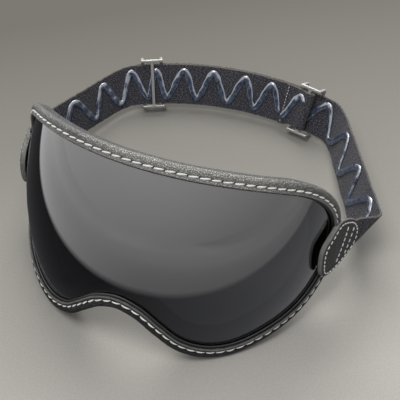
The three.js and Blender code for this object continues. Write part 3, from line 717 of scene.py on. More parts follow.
def wear_group():
    """Handling wear: large soft patches broken up by finer ones."""
    group, ins, outs = new_group("handling_wear", [("Place", "NodeSocketVector")], ["Patch", "Fleck"])
    wide = noise(group, ins[0], 38.0, 4.0, 0.6)
    fine = noise(group, ins[0], 900.0, 2.0, 0.6)
    feed(group, outs, Patch=remap(group, wide, 0.3, 0.7), Fleck=remap(group, fine, 0.35, 0.7))
    return group


GRAIN = grain_group()
WEAR = wear_group()


def group_outputs(tree, group, inputs):
    return add_node(tree, "ShaderNodeGroup", inputs, node_tree=group).outputs


# Colours and pattern sizes of the finishes

# Painted sheen on the brow binding
PAINTED_SHEEN_GREY = grey(0.33, (1, 0.98, 0.905))
# Pale cut leather edge, partly real colour and partly a painted highlight on the tabs' edges and the
# binding's lip
PALE_EDGE_AND_HIGHLIGHT = grey(0.2, (1, 0.985, 0.94))
# Painted shade in the creases of the leather grain
CREASE_SHADE_BLACK = grey(0.006)
CREASE_SHADE_SHARE = 0.72
# Painted shade in the stitch holes and on the binding's rear wall
SHADE_BLACK = grey(0.001)
THREAD_CLEAN = grey(0.97, (1, 0.995, 0.985))
THREAD_SOILED = grey(0.88, (1, 0.985, 0.96))
# Painted shade between the thread's plies
THREAD_PLY_SHADE = grey(0.74, (1, 0.985, 0.96))
THREAD_TURNS = 5.0
THREAD_PLIES = 2
ELASTIC_DARK = (0.034, 0.034, 0.042, 1)
ELASTIC_LIGHT = (0.048, 0.048, 0.058, 1)
ELASTIC_PALE_YARN = (0.19, 0.185, 0.195, 1)
ELASTIC_BLACK_YARN = (0.004, 0.004, 0.006, 1)
# Pale band edges, brightened as a painted highlight
ELASTIC_SELVAGE_HIGHLIGHT = (0.15, 0.138, 0.122, 1)
ELASTIC_RIB = 0.0009
ELASTIC_COURSE = 0.0007
ELASTIC_FLECKS = (950.0, 1500.0, 1.0)
SILICONE_DEEP = (0.022, 0.032, 0.060, 1)
SILICONE_CLEAR = (0.070, 0.092, 0.140, 1)
SMOKE_DEEP = grey(0.03, (1, 1, 1.12))
SMOKE_HAZE = grey(0.04, (1, 1, 1.1))
NICKEL_DULL = (0.23, 0.228, 0.218, 1)
NICKEL_BRIGHT = (0.3, 0.297, 0.284, 1)
NICKEL_GROOVE = grey(0.12)
NICKEL_BRUSH = (120.0, 900.0, 900.0)


# Materials

def leather_material(name, dark, light, pebbles, roughness, shine_level):
    """Grained leather with worn places; marks on the mesh give a painted sheen, pale cut edges brightened as
    a painted highlight, and painted shade.
    """
    material, tree, shader = new_material(name, roughness, Specular_IOR_Level=shine_level)
    place = object_coords(tree)
    grain = group_outputs(tree, GRAIN, {"Place": place, "Pebbles per Metre": pebbles})
    patch = group_outputs(tree, WEAR, {"Place": place})["Patch"]
    base = mix_colour(tree, patch, dark, light)
    # Painted sheen where the mesh is marked
    with_sheen = mix_colour(tree, attribute(tree, "painted_sheen"), base, PAINTED_SHEEN_GREY)
    # Painted shade in the grain's creases
    lines = maths(tree, "MULTIPLY", grain["Crease"], CREASE_SHADE_SHARE)
    crease_shaded = mix_colour(tree, lines, with_sheen, CREASE_SHADE_BLACK)
    # Pale cut edge, brightened as a painted highlight
    edged_and_highlit = mix_colour(tree, attribute(tree, "cut_edge_and_highlight"), crease_shaded, PALE_EDGE_AND_HIGHLIGHT)
    # Painted shade in the stitch holes and on the rear wall
    painted_shade = mix_colour(tree, attribute(tree, "painted_shade"), edged_and_highlit, SHADE_BLACK)
    worn = remap(tree, patch, 0.0, 1.0, roughness + 0.08, roughness - 0.06)
    rough = maths(tree, "MULTIPLY_ADD", grain["Crease"], 0.12, worn)
    feed(tree, shader, Base_Color=painted_shade, Roughness=rough)
    bump(tree, shader, grain["Height"], 0.0005)
    return material


def thread_material():
    """White waxed thread: a twist along each stitch, darker between its plies as painted shade, and a little
    soil.
    """
    material, tree, shader = new_material("thread_white", 0.62, Specular_IOR_Level=0.35)
    run = attribute(tree, "thread_run")
    turn = maths(tree, "MULTIPLY_ADD", run, THREAD_TURNS, attribute(tree, "thread_round"))
    lift = remap(tree, wave(tree, turn, 1 / THREAD_PLIES), -1.0, 1.0)
    soil = remap(tree, noise(tree, object_coords(tree), 160.0, 2.0), 0.4, 0.75)
    bright = mix_colour(tree, soil, THREAD_CLEAN, THREAD_SOILED)
    # Painted shade in the grooves between the plies
    feed(tree, shader, Base_Color=mix_colour(tree, lift, THREAD_PLY_SHADE, bright))
    bump(tree, shader, lift, 0.00008)
    return material


def elastic_material():
    """Heathered charcoal elastic: fine cross ribs, flecks of lighter yarn, fuzz, and pale edges brightened as
    a painted highlight.
    """
    material, tree, shader = new_material("strap_elastic", 0.95, Specular_IOR_Level=0.06, Sheen_Weight=0.1)
    uv = add_node(tree, "ShaderNodeUVMap", uv_map="UVMap").outputs[0]
    place = object_coords(tree)
    along, across, _ = add_node(tree, "ShaderNodeSeparateXYZ", {0: uv}).outputs
    weave = maths(tree, "MULTIPLY", wave(tree, along, ELASTIC_RIB), wave(tree, across, ELASTIC_COURSE))
    stretched = vector_maths(tree, "MULTIPLY", {0: uv, 1: ELASTIC_FLECKS})[0]
    fleck = noise(tree, stretched, 1.0, 2.0, 0.7)
    fuzz = noise(tree, place, 2600.0, 2.0, 0.7)
    patch = group_outputs(tree, WEAR, {"Place": place})["Patch"]
    base = mix_colour(tree, patch, ELASTIC_DARK, ELASTIC_LIGHT)
    pale = mix_colour(tree, remap(tree, fleck, 0.52, 0.7), base, ELASTIC_PALE_YARN)
    heathered = mix_colour(tree, remap(tree, fleck, 0.48, 0.34), pale, ELASTIC_BLACK_YARN)
    # Painted highlight along the band's edges
    rimmed = mix_colour(tree, attribute(tree, "selvage_highlight"), heathered, ELASTIC_SELVAGE_HIGHLIGHT)
    feed(tree, shader, Base_Color=rimmed)
    height = maths(tree, "MULTIPLY_ADD", weave, 0.35, maths(tree, "ADD", fuzz, fleck))
    bump(tree, shader, height, 0.00012, 0.9)
    return material


def silicone_material():
    """Clear navy silicone bead, glossy with a slightly uneven skin."""
    material, tree, shader = new_material(
        "grip_silicone", 0.2, Coat_Weight=1.0, Coat_Roughness=0.08, IOR=1.65, Coat_IOR=1.75)
    place = object_coords(tree)
    murk = noise(tree, place, 420.0, 3.0)
    colour = mix_colour(tree, remap(tree, murk, 0.35, 0.7), SILICONE_DEEP, SILICONE_CLEAR)
    feed(tree, shader, Base_Color=colour, Roughness=remap(tree, murk, 0.3, 0.7, 0.14, 0.3))
    bump(tree, shader, noise(tree, place, 260.0, 2.0), 0.0003, 0.35)
    return material


def lens_material():
    """Smoke tinted sheet: clear through, with a faint wiping haze on its face."""
    material, tree, shader = new_material(
        "lens_smoke", 0.015, Transmission_Weight=1.0, IOR=1.58,
        Coat_Weight=1.0, Coat_Roughness=0.012, Coat_IOR=1.55)
    haze = noise(tree, object_coords(tree), 24.0, 5.0, 0.6)
    tint = mix_colour(tree, remap(tree, haze, 0.3, 0.7), SMOKE_DEEP, SMOKE_HAZE)
    feed(tree, shader, Base_Color=tint, Roughness=remap(tree, haze, 0.35, 0.75, 0.003, 0.014))
    return material


def rubber_material():
    """Black moulded rubber with a fine skin."""
    material, tree, shader = new_material("frame_rubber", 0.5, Specular_IOR_Level=0.4)
    wear = group_outputs(tree, WEAR, {"Place": object_coords(tree)})
    tone = mix_colour(tree, wear["Patch"], grey(0.006), grey(0.012))
    feed(tree, shader, Base_Color=tone, Roughness=remap(tree, wear["Fleck"], 0, 1, 0.42, 0.6))
    bump(tree, shader, wear["Fleck"], 0.00003)
    return material


def foam_material():
    """Open-cell foam: pores of two sizes."""
    material, tree, shader = new_material("seal_foam", 0.95, Specular_IOR_Level=0.15)
    place = object_coords(tree)
    pores = maths(tree, "MULTIPLY_ADD", cells(tree, place, 3600.0), 0.5, cells(tree, place, 1500.0))
    feed(tree, shader, Base_Color=mix_colour(tree, remap(tree, pores, 0.25, 0.75), grey(0.006), grey(0.024)))
    bump(tree, shader, pores, 0.00035)
    return material


def fleece_material():
    """Brushed fleece against the face: short pile in soft tufts."""
    material, tree, shader = new_material(
        "seal_fleece", 1.0, Sheen_Weight=0.5, Sheen_Roughness=0.4, Specular_IOR_Level=0.1)
    place = object_coords(tree)
    pile = noise(tree, place, 2200.0, 4.0, 0.75)
    tufts = noise(tree, place, 420.0, 3.0)
    shade = maths(tree, "MULTIPLY_ADD", tufts, 0.6, maths(tree, "MULTIPLY", pile, 0.5))
    feed(tree, shader, Base_Color=mix_colour(tree, remap(tree, shade, 0.35, 0.75), grey(0.012), grey(0.045)))
    bump(tree, shader, shade, 0.0005)
    return material


def metal_material():
    """Nickel-plated wire buckle: brushed along the rails, duller in rubbed places."""
    material, tree, shader = new_material("slider_metal", 0.42, Metallic=0.75)
    place = object_coords(tree)
    stretched = add_node(tree, "ShaderNodeMapping", {"Vector": place, "Scale": NICKEL_BRUSH})
    brush = noise(tree, stretched.outputs[0], 1.0, 3.0)
    patch = group_outputs(tree, WEAR, {"Place": place})["Patch"]
    tone = mix_colour(tree, patch, NICKEL_DULL, NICKEL_BRIGHT)
    brushed = mix_colour(tree, remap(tree, brush, 0.35, 0.7, 0.0, 0.2), tone, NICKEL_GROOVE)
    feed(tree, shader, Base_Color=brushed, Roughness=remap(tree, brush, 0.3, 0.7, 0.46, 0.58))
    return material


# Painted light: the brow binding's grey is far lighter than the cheek and tab leather, to stand in for light
# falling on the top binding
BROW_LEATHER_PAINTED_LIT = leather_material(
    "brow_leather_painted_lit", grey(0.100, (1, 0.985, 0.93)), grey(0.130, (1, 0.985, 0.92)),
    pebbles=900.0, roughness=0.42, shine_level=0.55)
CHEEK_LEATHER = leather_material(
    "cheek_leather", grey(0.012, (1, 0.985, 0.94)), grey(0.022, (1, 0.985, 0.93)),
    pebbles=950.0, roughness=0.42, shine_level=0.25)
TAB_LEATHER = leather_material(
    "tab_leather", grey(0.014, (1, 0.97, 0.9)), grey(0.024, (1, 0.97, 0.9)),
    pebbles=1000.0, roughness=0.45, shine_level=0.3)
THREAD = thread_material()
ELASTIC = elastic_material()
SILICONE = silicone_material()
SMOKE = lens_material()
RUBBER = rubber_material()
FOAM = foam_material()
FLEECE = fleece_material()
METAL = metal_material()


# Sheets over a flat outline

def sheet_piece(name, rings, middle, place, faces_depth, material, marks=None):
    """Closed sheet from flat rings, outermost first, each with its outer and inner depth."""
    size = len(rings[0])
    points = []
    for which in (0, 1):
        for ring, depths in zip(rings, faces_depth):
            points.append(place(ring[:, 0], ring[:, 1], depths[which]))
        points.append(place(np.array([middle[0]]), np.array([middle[1]]), faces_depth[-1][which]))
    layer = len(rings) * size + 1
    faces = []
    for which in (0, 1):
        first = which * layer
        for r in range(len(rings) - 1):
            for j in range(size):
                k = (j + 1) % size
                a = first + r * size
                quad = (a + j, a + k, a + size + k, a + size + j)
                faces.append(quad if which == 0 else quad[::-1])
        last = first + (len(rings) - 1) * size
        for j in range(size):
            fan = (last + j, last + (j + 1) % size, first + layer - 1)
            faces.append(fan if which == 0 else fan[::-1])
    for j in range(size):
        k = (j + 1) % size
        faces.append((j, layer + j, layer + k, k))
    return make_piece(name, np.concatenate(points), faces, material, None, marks)


def shrunk(ring, middle, share):
    return np.asarray(middle) + (ring - np.asarray(middle)) * share


# Lens, the channel that grips it, and the foam and fleece behind the channel

def make_lens():
    """Lens sheet with even rings over its bare part and two more under the channel."""
    at = EDGE.spaced(LENS_STEPS)
    middle = (0, (BROW_RISE - NOSE_DROP) / 2)
    bare = EDGE.beside(at, -2 * CHANNEL_REVEAL)
    flats = [EDGE.beside(at, LENS_TUCK), EDGE.beside(at, 0)]
    flats += [shrunk(bare, middle, share) for share in np.linspace(1, 1 / LENS_RINGS, LENS_RINGS)]
    depths = [(0.0, -LENS_THICKNESS)] * len(flats)
    piece = sheet_piece("smoke_lens", flats, middle, on_lens, depths, SMOKE)
    return ride(piece, "goggles", "lens_smoke", "lens")


def edge_ring(name, profile, steps, material, lumps=0):
    """Ring of one profile round the lens edge, with soft lumps away from the channel."""
    at = EDGE.spaced(steps)
    outwards = np.tile(profile[:, 0], (steps, 1))
    depth = np.tile(profile[:, 1], (steps, 1))
    if lumps:
        lump = lumps * ripple(at, *LUMP_WAVES, EDGE.length)[:, None]
        dimple = lumps * ripple(at[:, None] + DIMPLE_SKEW * outwards, *DIMPLE_WAVES, EDGE.length)
        soft = np.clip((SOFT_FROM - depth) / SOFT_RAMP, 0, 1)
        outwards = outwards + lump * soft
        depth = depth + dimple * soft * DIMPLE_SHARE
    rows = on_edge(at[:, None], outwards, depth)
    return swept_piece(name, rows, material, True, np.append(at, EDGE.length), girth_of(profile))


def make_channel():
    piece = edge_ring("lens_channel", np.array(CHANNEL_PROFILE), CHANNEL_STEPS, RUBBER)
    return ride(piece, "goggles", "frame_rubber", "lens_frame")


def make_seal():
    """Foam ring and the fleece on its face side."""
    foam_profile = catmull_rom(FOAM_PROFILE, FOAM_SPAN_STEPS)
    fleece_profile = catmull_rom(FLEECE_PROFILE, FLEECE_SPAN_STEPS)
    foam = edge_ring("face_foam_ring", foam_profile, SEAL_STEPS, FOAM, FOAM_LUMPS)
    fleece = edge_ring("face_fleece_ring", fleece_profile, SEAL_STEPS, FLEECE, FLEECE_LUMPS)
    ride(foam, "goggles", "seal_foam", "face_foam")
    ride(fleece, "goggles", "seal_fleece", "face_fleece")


# Leather binding with its stitches

def seam_place():
    """Distance along the edge, from the brow, of the seam between the two bindings."""
    at = np.linspace(0, EDGE.length / 2, FINE_STEPS)
    return at[np.argmax(EDGE.place(at)[:, 1] < BINDING_SEAM_HEIGHT)]


SEAM = seam_place()
TOP_BINDING = (-SEAM + BINDING_SEAM_GAP, SEAM - BINDING_SEAM_GAP)
BOTTOM_BINDING = (SEAM + BINDING_SEAM_GAP, EDGE.length - SEAM - BINDING_SEAM_GAP)


def rim_holes(start, end):
    """Places along the edge of evenly spaced stitch holes, from one end of a binding to the other."""
    at = np.linspace(start, end, FINE_STEPS)
    run = distances(on_edge(at, RIM_STITCH_LINE, RIM_HOLE_DEPTH))
    count = round(run[-1] / RIM_STITCH_PITCH)
    return np.interp(np.linspace(0, run[-1], count + 1), run, at)


def make_binding(name, ends, leather, node):
    """One leather binding: a rolled lip, a stitched groove with pricked holes and a padded roll."""
    profile = catmull_rom(BINDING_PROFILE, BINDING_SPAN_STEPS)
    at = np.linspace(*ends, int((ends[1] - ends[0]) / BINDING_STEP))
    outwards = np.tile(profile[:, 0], (len(at), 1))
    depth = np.tile(profile[:, 1], (len(at), 1))
    gap = np.min(np.abs(at[:, None] - rim_holes(*ends)[None, :]), axis=1)[:, None]
    front = depth > BINDING_FRONT
    prick = hump(gap, 0, HOLE_LENGTH) * hump(outwards, RIM_STITCH_LINE, HOLE_WIDTH) * front
    pull = hump(gap, 0, PULL_LENGTH) * hump(outwards, RIM_STITCH_LINE, PULL_WIDTH) * front
    tension = np.cos(math.pi * np.clip(gap / (RIM_STITCH_PITCH / 2), 0, 1))
    puff = tension * hump(outwards, PUFF_LINE, PUFF_WIDTH) * front
    crimp_height = CRIMP_HEIGHT + LEFT_CRIMP_HEIGHT * hump(at, LEFT_CRIMP_MIDDLE, LEFT_CRIMP_REACH)
    crimp = (crimp_height * ripple(at, *CRIMP_WAVES))[:, None] * hump(outwards, ROLL_LINE, ROLL_WIDTH) * front
    wander = WANDER * ripple(at, *WANDER_WAVES)[:, None]
    lip = LIP_HEIGHT * ripple(at, *LIP_WAVES)[:, None] * hump(outwards, 0, LIP_WIDTH) * front
    depth = depth - HOLE_DEPTH * prick - PULL_DEPTH * pull - PUFF_HEIGHT * puff + crimp + lip
    # Painted highlight along the lip's crest
    lip_highlight = hump(outwards, LIP_HIGHLIGHT_LINE, LIP_HIGHLIGHT_WIDTH) * (depth > LIP_HIGHLIGHT_FRONT)
    from_brow = np.minimum(np.abs(at), EDGE.length - np.abs(at))
    slim = SLIM_SIDE * hump(from_brow, SLIM_MIDDLE, SLIM_REACH, 4)[:, None]
    outer = np.clip((outwards - SLIM_FROM) / SLIM_RAMP, 0, 1) * (depth > BINDING_REAR)
    outwards = outwards + (wander - slim) * outer
    # Painted shade on the binding's rear wall
    wall = smooth_step((WALL_TOP - depth) / WALL_FADE) * (outwards > WALL_LINE)
    # Painted sheen over the middle of the brow
    painted_sheen = hump(at, SHEEN_MIDDLE, SHEEN_REACH, 4)
    marks = {
        # painted shade in the stitch holes and on the rear wall
        "painted_shade": np.clip(np.maximum(HOLE_SHADE * prick, WALL_SHADE * wall), 0, 1),
        "painted_sheen": np.tile(painted_sheen[:, None], (1, len(profile))),
        "cut_edge_and_highlight": LIP_HIGHLIGHT_STRENGTH * lip_highlight,
    }
    rows = on_edge(at[:, None], outwards, depth)
    piece = swept_piece(name, rows, leather, False, at, girth_of(profile), marks)
    return ride(piece, "goggles", "leather_black", node)


def seam_points(places, tops, closed=False):
    """Middles, headings and outward directions of the stitches between stitch ends in a row."""
    outs = unit(tops - places)
    if closed:
        places = np.concatenate([places, places[:1]])
        outs = np.concatenate([outs, outs[:1]])
    return (places[:-1] + places[1:]) / 2, unit(np.diff(places, axis=0)), unit(outs[:-1] + outs[1:])


def rim_seam(ends):
    """Stitches of one binding, each turned a little from the seam's line."""
    holes = rim_holes(*ends)
    low = on_edge(holes, RIM_STITCH_LINE, RIM_STITCH_DEPTH)
    high = on_edge(holes, RIM_STITCH_LINE, RIM_STITCH_TOP)
    places, headings, lifts = seam_points(low, high)
    turned = headings * math.cos(RIM_STITCH_SLANT) - np.cross(headings, lifts) * math.sin(RIM_STITCH_SLANT)
    return places, turned, lifts


# Stitches as one node tree, used for every seam

def stitch_tree():
    """Instances of one bent thread on the seam's points, turned along the seam."""
    tree = bpy.data.node_groups.new("thread_stitches", "GeometryNodeTree")
    sockets = (
        ("Seam", "INPUT", "NodeSocketGeometry"), ("Stitch Length", "INPUT", "NodeSocketFloat"),
        ("Thread Radius", "INPUT", "NodeSocketFloat"), ("Thread", "INPUT", "NodeSocketMaterial"),
        ("Stitches", "OUTPUT", "NodeSocketGeometry"),
    )
    for key, side, kind in sockets:
        tree.interface.new_socket(key, in_out=side, socket_type=kind)
    ins = tree.nodes.new("NodeGroupInput").outputs
    outs = tree.nodes.new("NodeGroupOutput")
    half = maths(tree, "MULTIPLY", ins["Stitch Length"], 0.5)
    back = maths(tree, "MULTIPLY", half, -1.0)
    dip = maths(tree, "MULTIPLY", ins["Thread Radius"], STITCH_DIP)
    arch = maths(tree, "MULTIPLY", ins["Thread Radius"], STITCH_ARCH)
    bend = add_node(tree, "GeometryNodeCurveQuadraticBezier", {
        "Resolution": STITCH_BEND_STEPS,
        "Start": add_node(tree, "ShaderNodeCombineXYZ", {0: back, 2: dip}).outputs[0],
        "Middle": add_node(tree, "ShaderNodeCombineXYZ", {2: arch}).outputs[0],
        "End": add_node(tree, "ShaderNodeCombineXYZ", {0: half, 2: dip}).outputs[0],
    })
    ring = add_node(tree, "GeometryNodeCurvePrimitiveCircle", {
        "Resolution": STITCH_ROUND_STEPS, "Radius": ins["Thread Radius"],
    })
    share = add_node(tree, "GeometryNodeSplineParameter").outputs["Factor"]

    def named(curve, key):
        return add_node(tree, "GeometryNodeStoreNamedAttribute", {
            "Geometry": curve.outputs[0], "Name": key, "Value": share,
        }, data_type="FLOAT", domain="POINT").outputs[0]

    def direction(key):
        return add_node(tree, "GeometryNodeInputNamedAttribute", {
            "Name": key,
        }, data_type="FLOAT_VECTOR").outputs["Attribute"]

    from_middle = maths(tree, "ABSOLUTE", maths(tree, "SUBTRACT", share, 0.5))
    towards_end = maths(tree, "POWER", maths(tree, "MULTIPLY", from_middle, 2.0), 4.0)
    tube = add_node(tree, "GeometryNodeCurveToMesh", {
        "Curve": named(bend, "thread_run"),
        "Profile Curve": named(ring, "thread_round"),
        "Scale": maths(tree, "MULTIPLY_ADD", towards_end, STITCH_TAPER, 1.0),
        "Fill Caps": True,
    })
    turn = add_node(tree, "FunctionNodeAlignRotationToVector", {"Vector": direction("heading")}, axis="X")
    stand = add_node(tree, "FunctionNodeAlignRotationToVector", {
        "Rotation": turn.outputs[0], "Vector": direction("lift"),
    }, axis="Z", pivot_axis="X")
    vary = add_node(tree, "FunctionNodeRandomValue", {
        "Min": STITCH_SMALLEST, "Max": STITCH_LARGEST, "Seed": STITCH_SEED,
    }, data_type="FLOAT_VECTOR")
    laid = add_node(tree, "GeometryNodeInstanceOnPoints", {
        "Points": ins["Seam"], "Instance": tube.outputs[0],
        "Rotation": stand.outputs[0], "Scale": vary.outputs["Value"],
    })
    real = add_node(tree, "GeometryNodeRealizeInstances", {0: laid.outputs[0]})
    smooth = add_node(tree, "GeometryNodeSetShadeSmooth", {0: real.outputs[0]})
    dyed = add_node(tree, "GeometryNodeSetMaterial", {0: smooth.outputs[0], "Material": ins["Thread"]})
    feed(tree, outs, Stitches=dyed.outputs[0])
    return tree


STITCHES = stitch_tree()


def sew(name, seams, length, radius, body):
    """Plain mesh of the stitches on some seams, each seam being places, headings and lifts."""
    places, headings, lifts = (np.concatenate(parts) for parts in zip(*seams))
    mesh = bpy.data.meshes.new(name + "_seam")
    mesh.from_pydata((places * MM).tolist(), [], [])
    for key, values in (("heading", headings), ("lift", lifts)):
        mark = mesh.attributes.new(key, "FLOAT_VECTOR", "POINT")
        mark.data.foreach_set("vector", np.asarray(values, np.float32).ravel())
    seam = add_object(name + "_seam", mesh)
    modifier = seam.modifiers.new("stitches", "NODES")
    modifier.node_group = STITCHES
    sockets = {item.name: item.identifier for item in STITCHES.interface.items_tree if item.in_out == "INPUT"}
    modifier[sockets["Stitch Length"]] = length * MM
    modifier[sockets["Thread Radius"]] = radius * MM
    modifier[sockets["Thread"]] = THREAD
    evaluated = seam.evaluated_get(bpy.context.evaluated_depsgraph_get())
    sewn = bpy.data.meshes.new_from_object(evaluated)
    sewn.name = name
    bpy.data.objects.remove(seam)
    return ride(add_object(name, sewn), body, "thread_white")


# Side tabs

TAB_EDGE = Track(catmull_rom(TAB_SHAPE[::-1], TAB_SPAN_STEPS), True)


def tab_face(inset):
    """Depth of a tab's outer face at a distance in from its edge: rounded edge, groove and crown."""
    edge = TAB_ROUND_DROP * np.clip(1 - inset / TAB_ROUND_WIDTH, 0, 1) ** 2
    groove = TAB_GROOVE_DEPTH * hump(inset, TAB_STITCH_INSET, TAB_GROOVE_WIDTH)
    return TAB_OUTER - edge - groove + TAB_CROWN * smooth_step((inset - TAB_CROWN_FROM) / TAB_CROWN_RAMP)


def over_lens(flat):
    """Share by which places on a tab lie over the bare lens, in front of its binding."""
    _, tangent = plan_curve(np.array(TAB_TANGENT_WRAP))
    wrap = TAB_TANGENT_WRAP + flat[:, 0] / np.linalg.norm(tangent)
    spot = np.stack([wrap * LENS_HALF_WIDTH, flat[:, 1]], -1)
    gaps = spot[:, None, :] - EDGE.points[None, :, :]
    nearest = np.argmin(np.sum(gaps ** 2, axis=-1), axis=1)
    ahead = EDGE.heading[nearest]
    gap = gaps[np.arange(len(flat)), nearest]
    outwards = gap[:, 1] * ahead[:, 0] - gap[:, 0] * ahead[:, 1]
    return smooth_step((-outwards - HEM_GAP) / HEM_RAMP)


def make_tab(side, label):
    """Leather tab with a rounded cut edge, and a hem turned down where it lies over the lens."""
    at = TAB_EDGE.spaced(TAB_STEPS)
    rings = []
    depths = []
    for inset in TAB_INSETS:
        ring = TAB_EDGE.beside(at, inset)
        undercut = TAB_UNDERCUT * max(0, 1 - inset / TAB_CUT_WIDTH) ** 2
        hem = HEM_DEPTH * over_lens(ring) * (1 - smooth_step((inset - HEM_WIDTH) / HEM_FADE))
        rings.append(ring)
        depths.append((tab_face(inset), TAB_INNER + undercut - hem))
    innermost = rings[-1]
    for share in TAB_SHARES:
        rings.append(shrunk(innermost, TAB_MIDDLE, share))
        depths.append((tab_face(TAB_FLAT_INSET), TAB_INNER))
    # Pale cut edge round the tab, partly its real colour and partly a painted highlight
    cut = np.repeat(np.clip(1 - np.array(TAB_INSETS) / TAB_CUT_WIDTH, 0, 1), TAB_STEPS)
    layer = np.concatenate([cut, np.zeros(len(TAB_SHARES) * TAB_STEPS + 1)])
    marks = {"cut_edge_and_highlight": np.tile(layer, 2)}
    place = partial(on_side, side)
    piece = sheet_piece(f"tab_patch_{label}", rings, TAB_MIDDLE, place, depths, TAB_LEATHER, marks)
    return ride(piece, "goggles", "leather_black", f"tab_{label}")


def side_seam(side, path, depth, closed, out=1):
    """Stitches along a flat path on a side tab, on the face that looks outwards or inwards."""
    track = Track(path, closed)
    count = max(1, round(track.length / TAB_STITCH_PITCH))
    at = track.spaced(count) if closed else np.append(track.spaced(count), track.length)
    flat = track.place(at)
    low, high = (on_side(side, flat[:, 0], flat[:, 1], level) for level in (depth, depth + out))
    return seam_points(low, high, closed)


def tab_seams(side):
    """Plain rows: one all round, and two straight ones where the strap is sewn on."""
    outline = TAB_EDGE.beside(TAB_EDGE.spaced(TAB_SEAM_STEPS), TAB_STITCH_INSET)
    rows = [side_seam(side, outline, tab_face(TAB_STITCH_INSET), True)]
    for foot, head in TAB_STRAP_ROWS:
        path = np.linspace(foot, head, TAB_ROW_STEPS)
        rows.append(side_seam(side, path, tab_face(TAB_FLAT_INSET), False))
    return rows


def make_backing(side, label):
    """Leather patch behind the tab that clamps the strap's end; returns the seam round it."""
    half_height = (STRAP_TAB_TOP - STRAP_TAB_BOTTOM) / 2 - BACKING_MARGIN
    middle = (STRAP_TAB_START + BACKING_LENGTH / 2, (STRAP_TAB_TOP + STRAP_TAB_BOTTOM) / 2)
    turn = np.arange(BACKING_STEPS) / BACKING_STEPS * 2 * math.pi
    round_ = np.stack([np.cos(turn), np.sin(turn)], -1)
    square = np.sign(round_) * np.abs(round_) ** BACKING_SQUARENESS
    rim = np.array(middle) + square * (BACKING_LENGTH / 2, half_height)
    inner = BACKING_OUTER - BACKING_THICKNESS
    rings = [shrunk(rim, middle, share) for share, _ in BACKING_RINGS]
    depths = [(BACKING_OUTER - lift / 2, inner + lift) for _, lift in BACKING_RINGS]
    piece = sheet_piece(f"tab_lining_{label}", rings, middle, partial(on_side, side), depths, TAB_LEATHER)
    ride(piece, "goggles", "leather_black", f"tab_backing_{label}")
    return side_seam(side, shrunk(rim, middle, BACKING_SEAM_SHARE), inner, True, -1)


# Straps

def line(a, b, steps):
    return a + (b - a) * (np.arange(steps) / steps)[:, None]


def bezier(a, b, c, steps):
    t = (np.arange(steps) / steps)[:, None]
    return (1 - t) ** 2 * a + 2 * t * (1 - t) * b + t * t * c


def edge_route(start, exit_, bend, corner, end):
    """One edge of the strap: out of the tab, round the bend, along the run and round the corner."""
    corner_in = corner + unit(bend - corner) * CORNER_RUN_LENGTH
    places = [start, exit_, bend, corner_in]
    legs = []
    here = start
    for before, place, after in zip(places, places[1:], places[2:]):
        turn_in = place + unit(before - place) * BEND_ROUNDING
        turn_out = place + unit(after - place) * BEND_ROUNDING
        legs += [line(here, turn_in, EXIT_STEPS), bezier(turn_in, place, turn_out, BEND_STEPS)]
        here = turn_out
    legs += [line(here, corner_in, RUN_STEPS), bezier(corner_in, corner, end, CORNER_STEPS)]
    return np.concatenate(legs)


class Strap:
    """Band between two edge lines, read by distance along its middle."""

    def __init__(self, side, depth, loop_end):
        start = LOOP_START[side]
        heading = np.array([math.cos(start), math.sin(start), 0]) * side
        tab = partial(on_side, side, depth=STRAP_TAB_INNER)
        low_tab, low_exit = (tab(back, STRAP_TAB_BOTTOM) for back in (STRAP_TAB_START, STRAP_TAB_END))
        high_tab, high_exit = (tab(back, STRAP_TAB_TOP) for back in (STRAP_TAB_START, STRAP_TAB_END))
        low_loop, high_loop = (on_loop(start, across, depth) for across in (0, STRAP_WIDTH))
        low_corner, high_corner = (place + heading * CORNER_LENGTH for place in (low_loop, high_loop))
        low_bend = low_exit + np.array(BEND_OFFSET[side])
        run = low_corner - low_bend
        out = unit(np.array([run[1], -run[0], 0]) * side)
        lean = BEND_LEAN[side]
        rise = out * math.sin(lean) + np.array([0, 0, math.cos(lean)])
        high_bend = low_bend + STRAP_WIDTH * rise
        angles = np.linspace(start, loop_end, int(abs(loop_end - start) * LOOP_RADIUS / LOOP_STEP))
        self.low = np.concatenate([
            edge_route(low_tab, low_exit, low_bend, low_corner, low_loop), on_loop(angles, 0, depth)])
        self.high = np.concatenate([
            edge_route(high_tab, high_exit, high_bend, high_corner, high_loop),
            on_loop(angles, STRAP_WIDTH, depth)])
        middle = (self.low + self.high) / 2
        self.run = distances(middle)
        self.length = self.run[-1]
        self.run_start = self.run[2 * (EXIT_STEPS + BEND_STEPS)]
        normal = unit(np.cross(np.gradient(middle, axis=0), self.high - self.low) * side)
        beyond = len(NORMAL_WEIGHTS) // 2
        for _ in range(NORMAL_PASSES):
            wide = np.pad(normal, ((beyond, beyond), (0, 0)), mode="edge")
            normal = unit(sum(weight * wide[i:i + len(normal)] for i, weight in enumerate(NORMAL_WEIGHTS)))
        self.normal = normal

    def place(self, along, across, depth):
        """Place at a distance along, a height from the middle line and a depth outwards."""
        along, across, depth = alike(along, across, depth)
        rows = (self.low, self.high, self.normal)
        low, high, normal = (read_along(self.run, values, along) for values in rows)
        share = 0.5 + across / STRAP_WIDTH
        return low + (high - low) * share[..., None] + normal * depth[..., None]


LEFT_END = SLIDER_RIGHT_ANGLE + (SEWN_LENGTH - SEWN_LAP) / LOOP_RADIUS
RIGHT_END = SLIDER_LEFT_ANGLE + (SLIDER_LENGTH / 2 + TAIL_LENGTH) / LOOP_RADIUS
LEFT_STRAP = Strap(-1, 0, LEFT_END)
RIGHT_STRAP = Strap(1, RIGHT_STRAP_INNER, RIGHT_END)


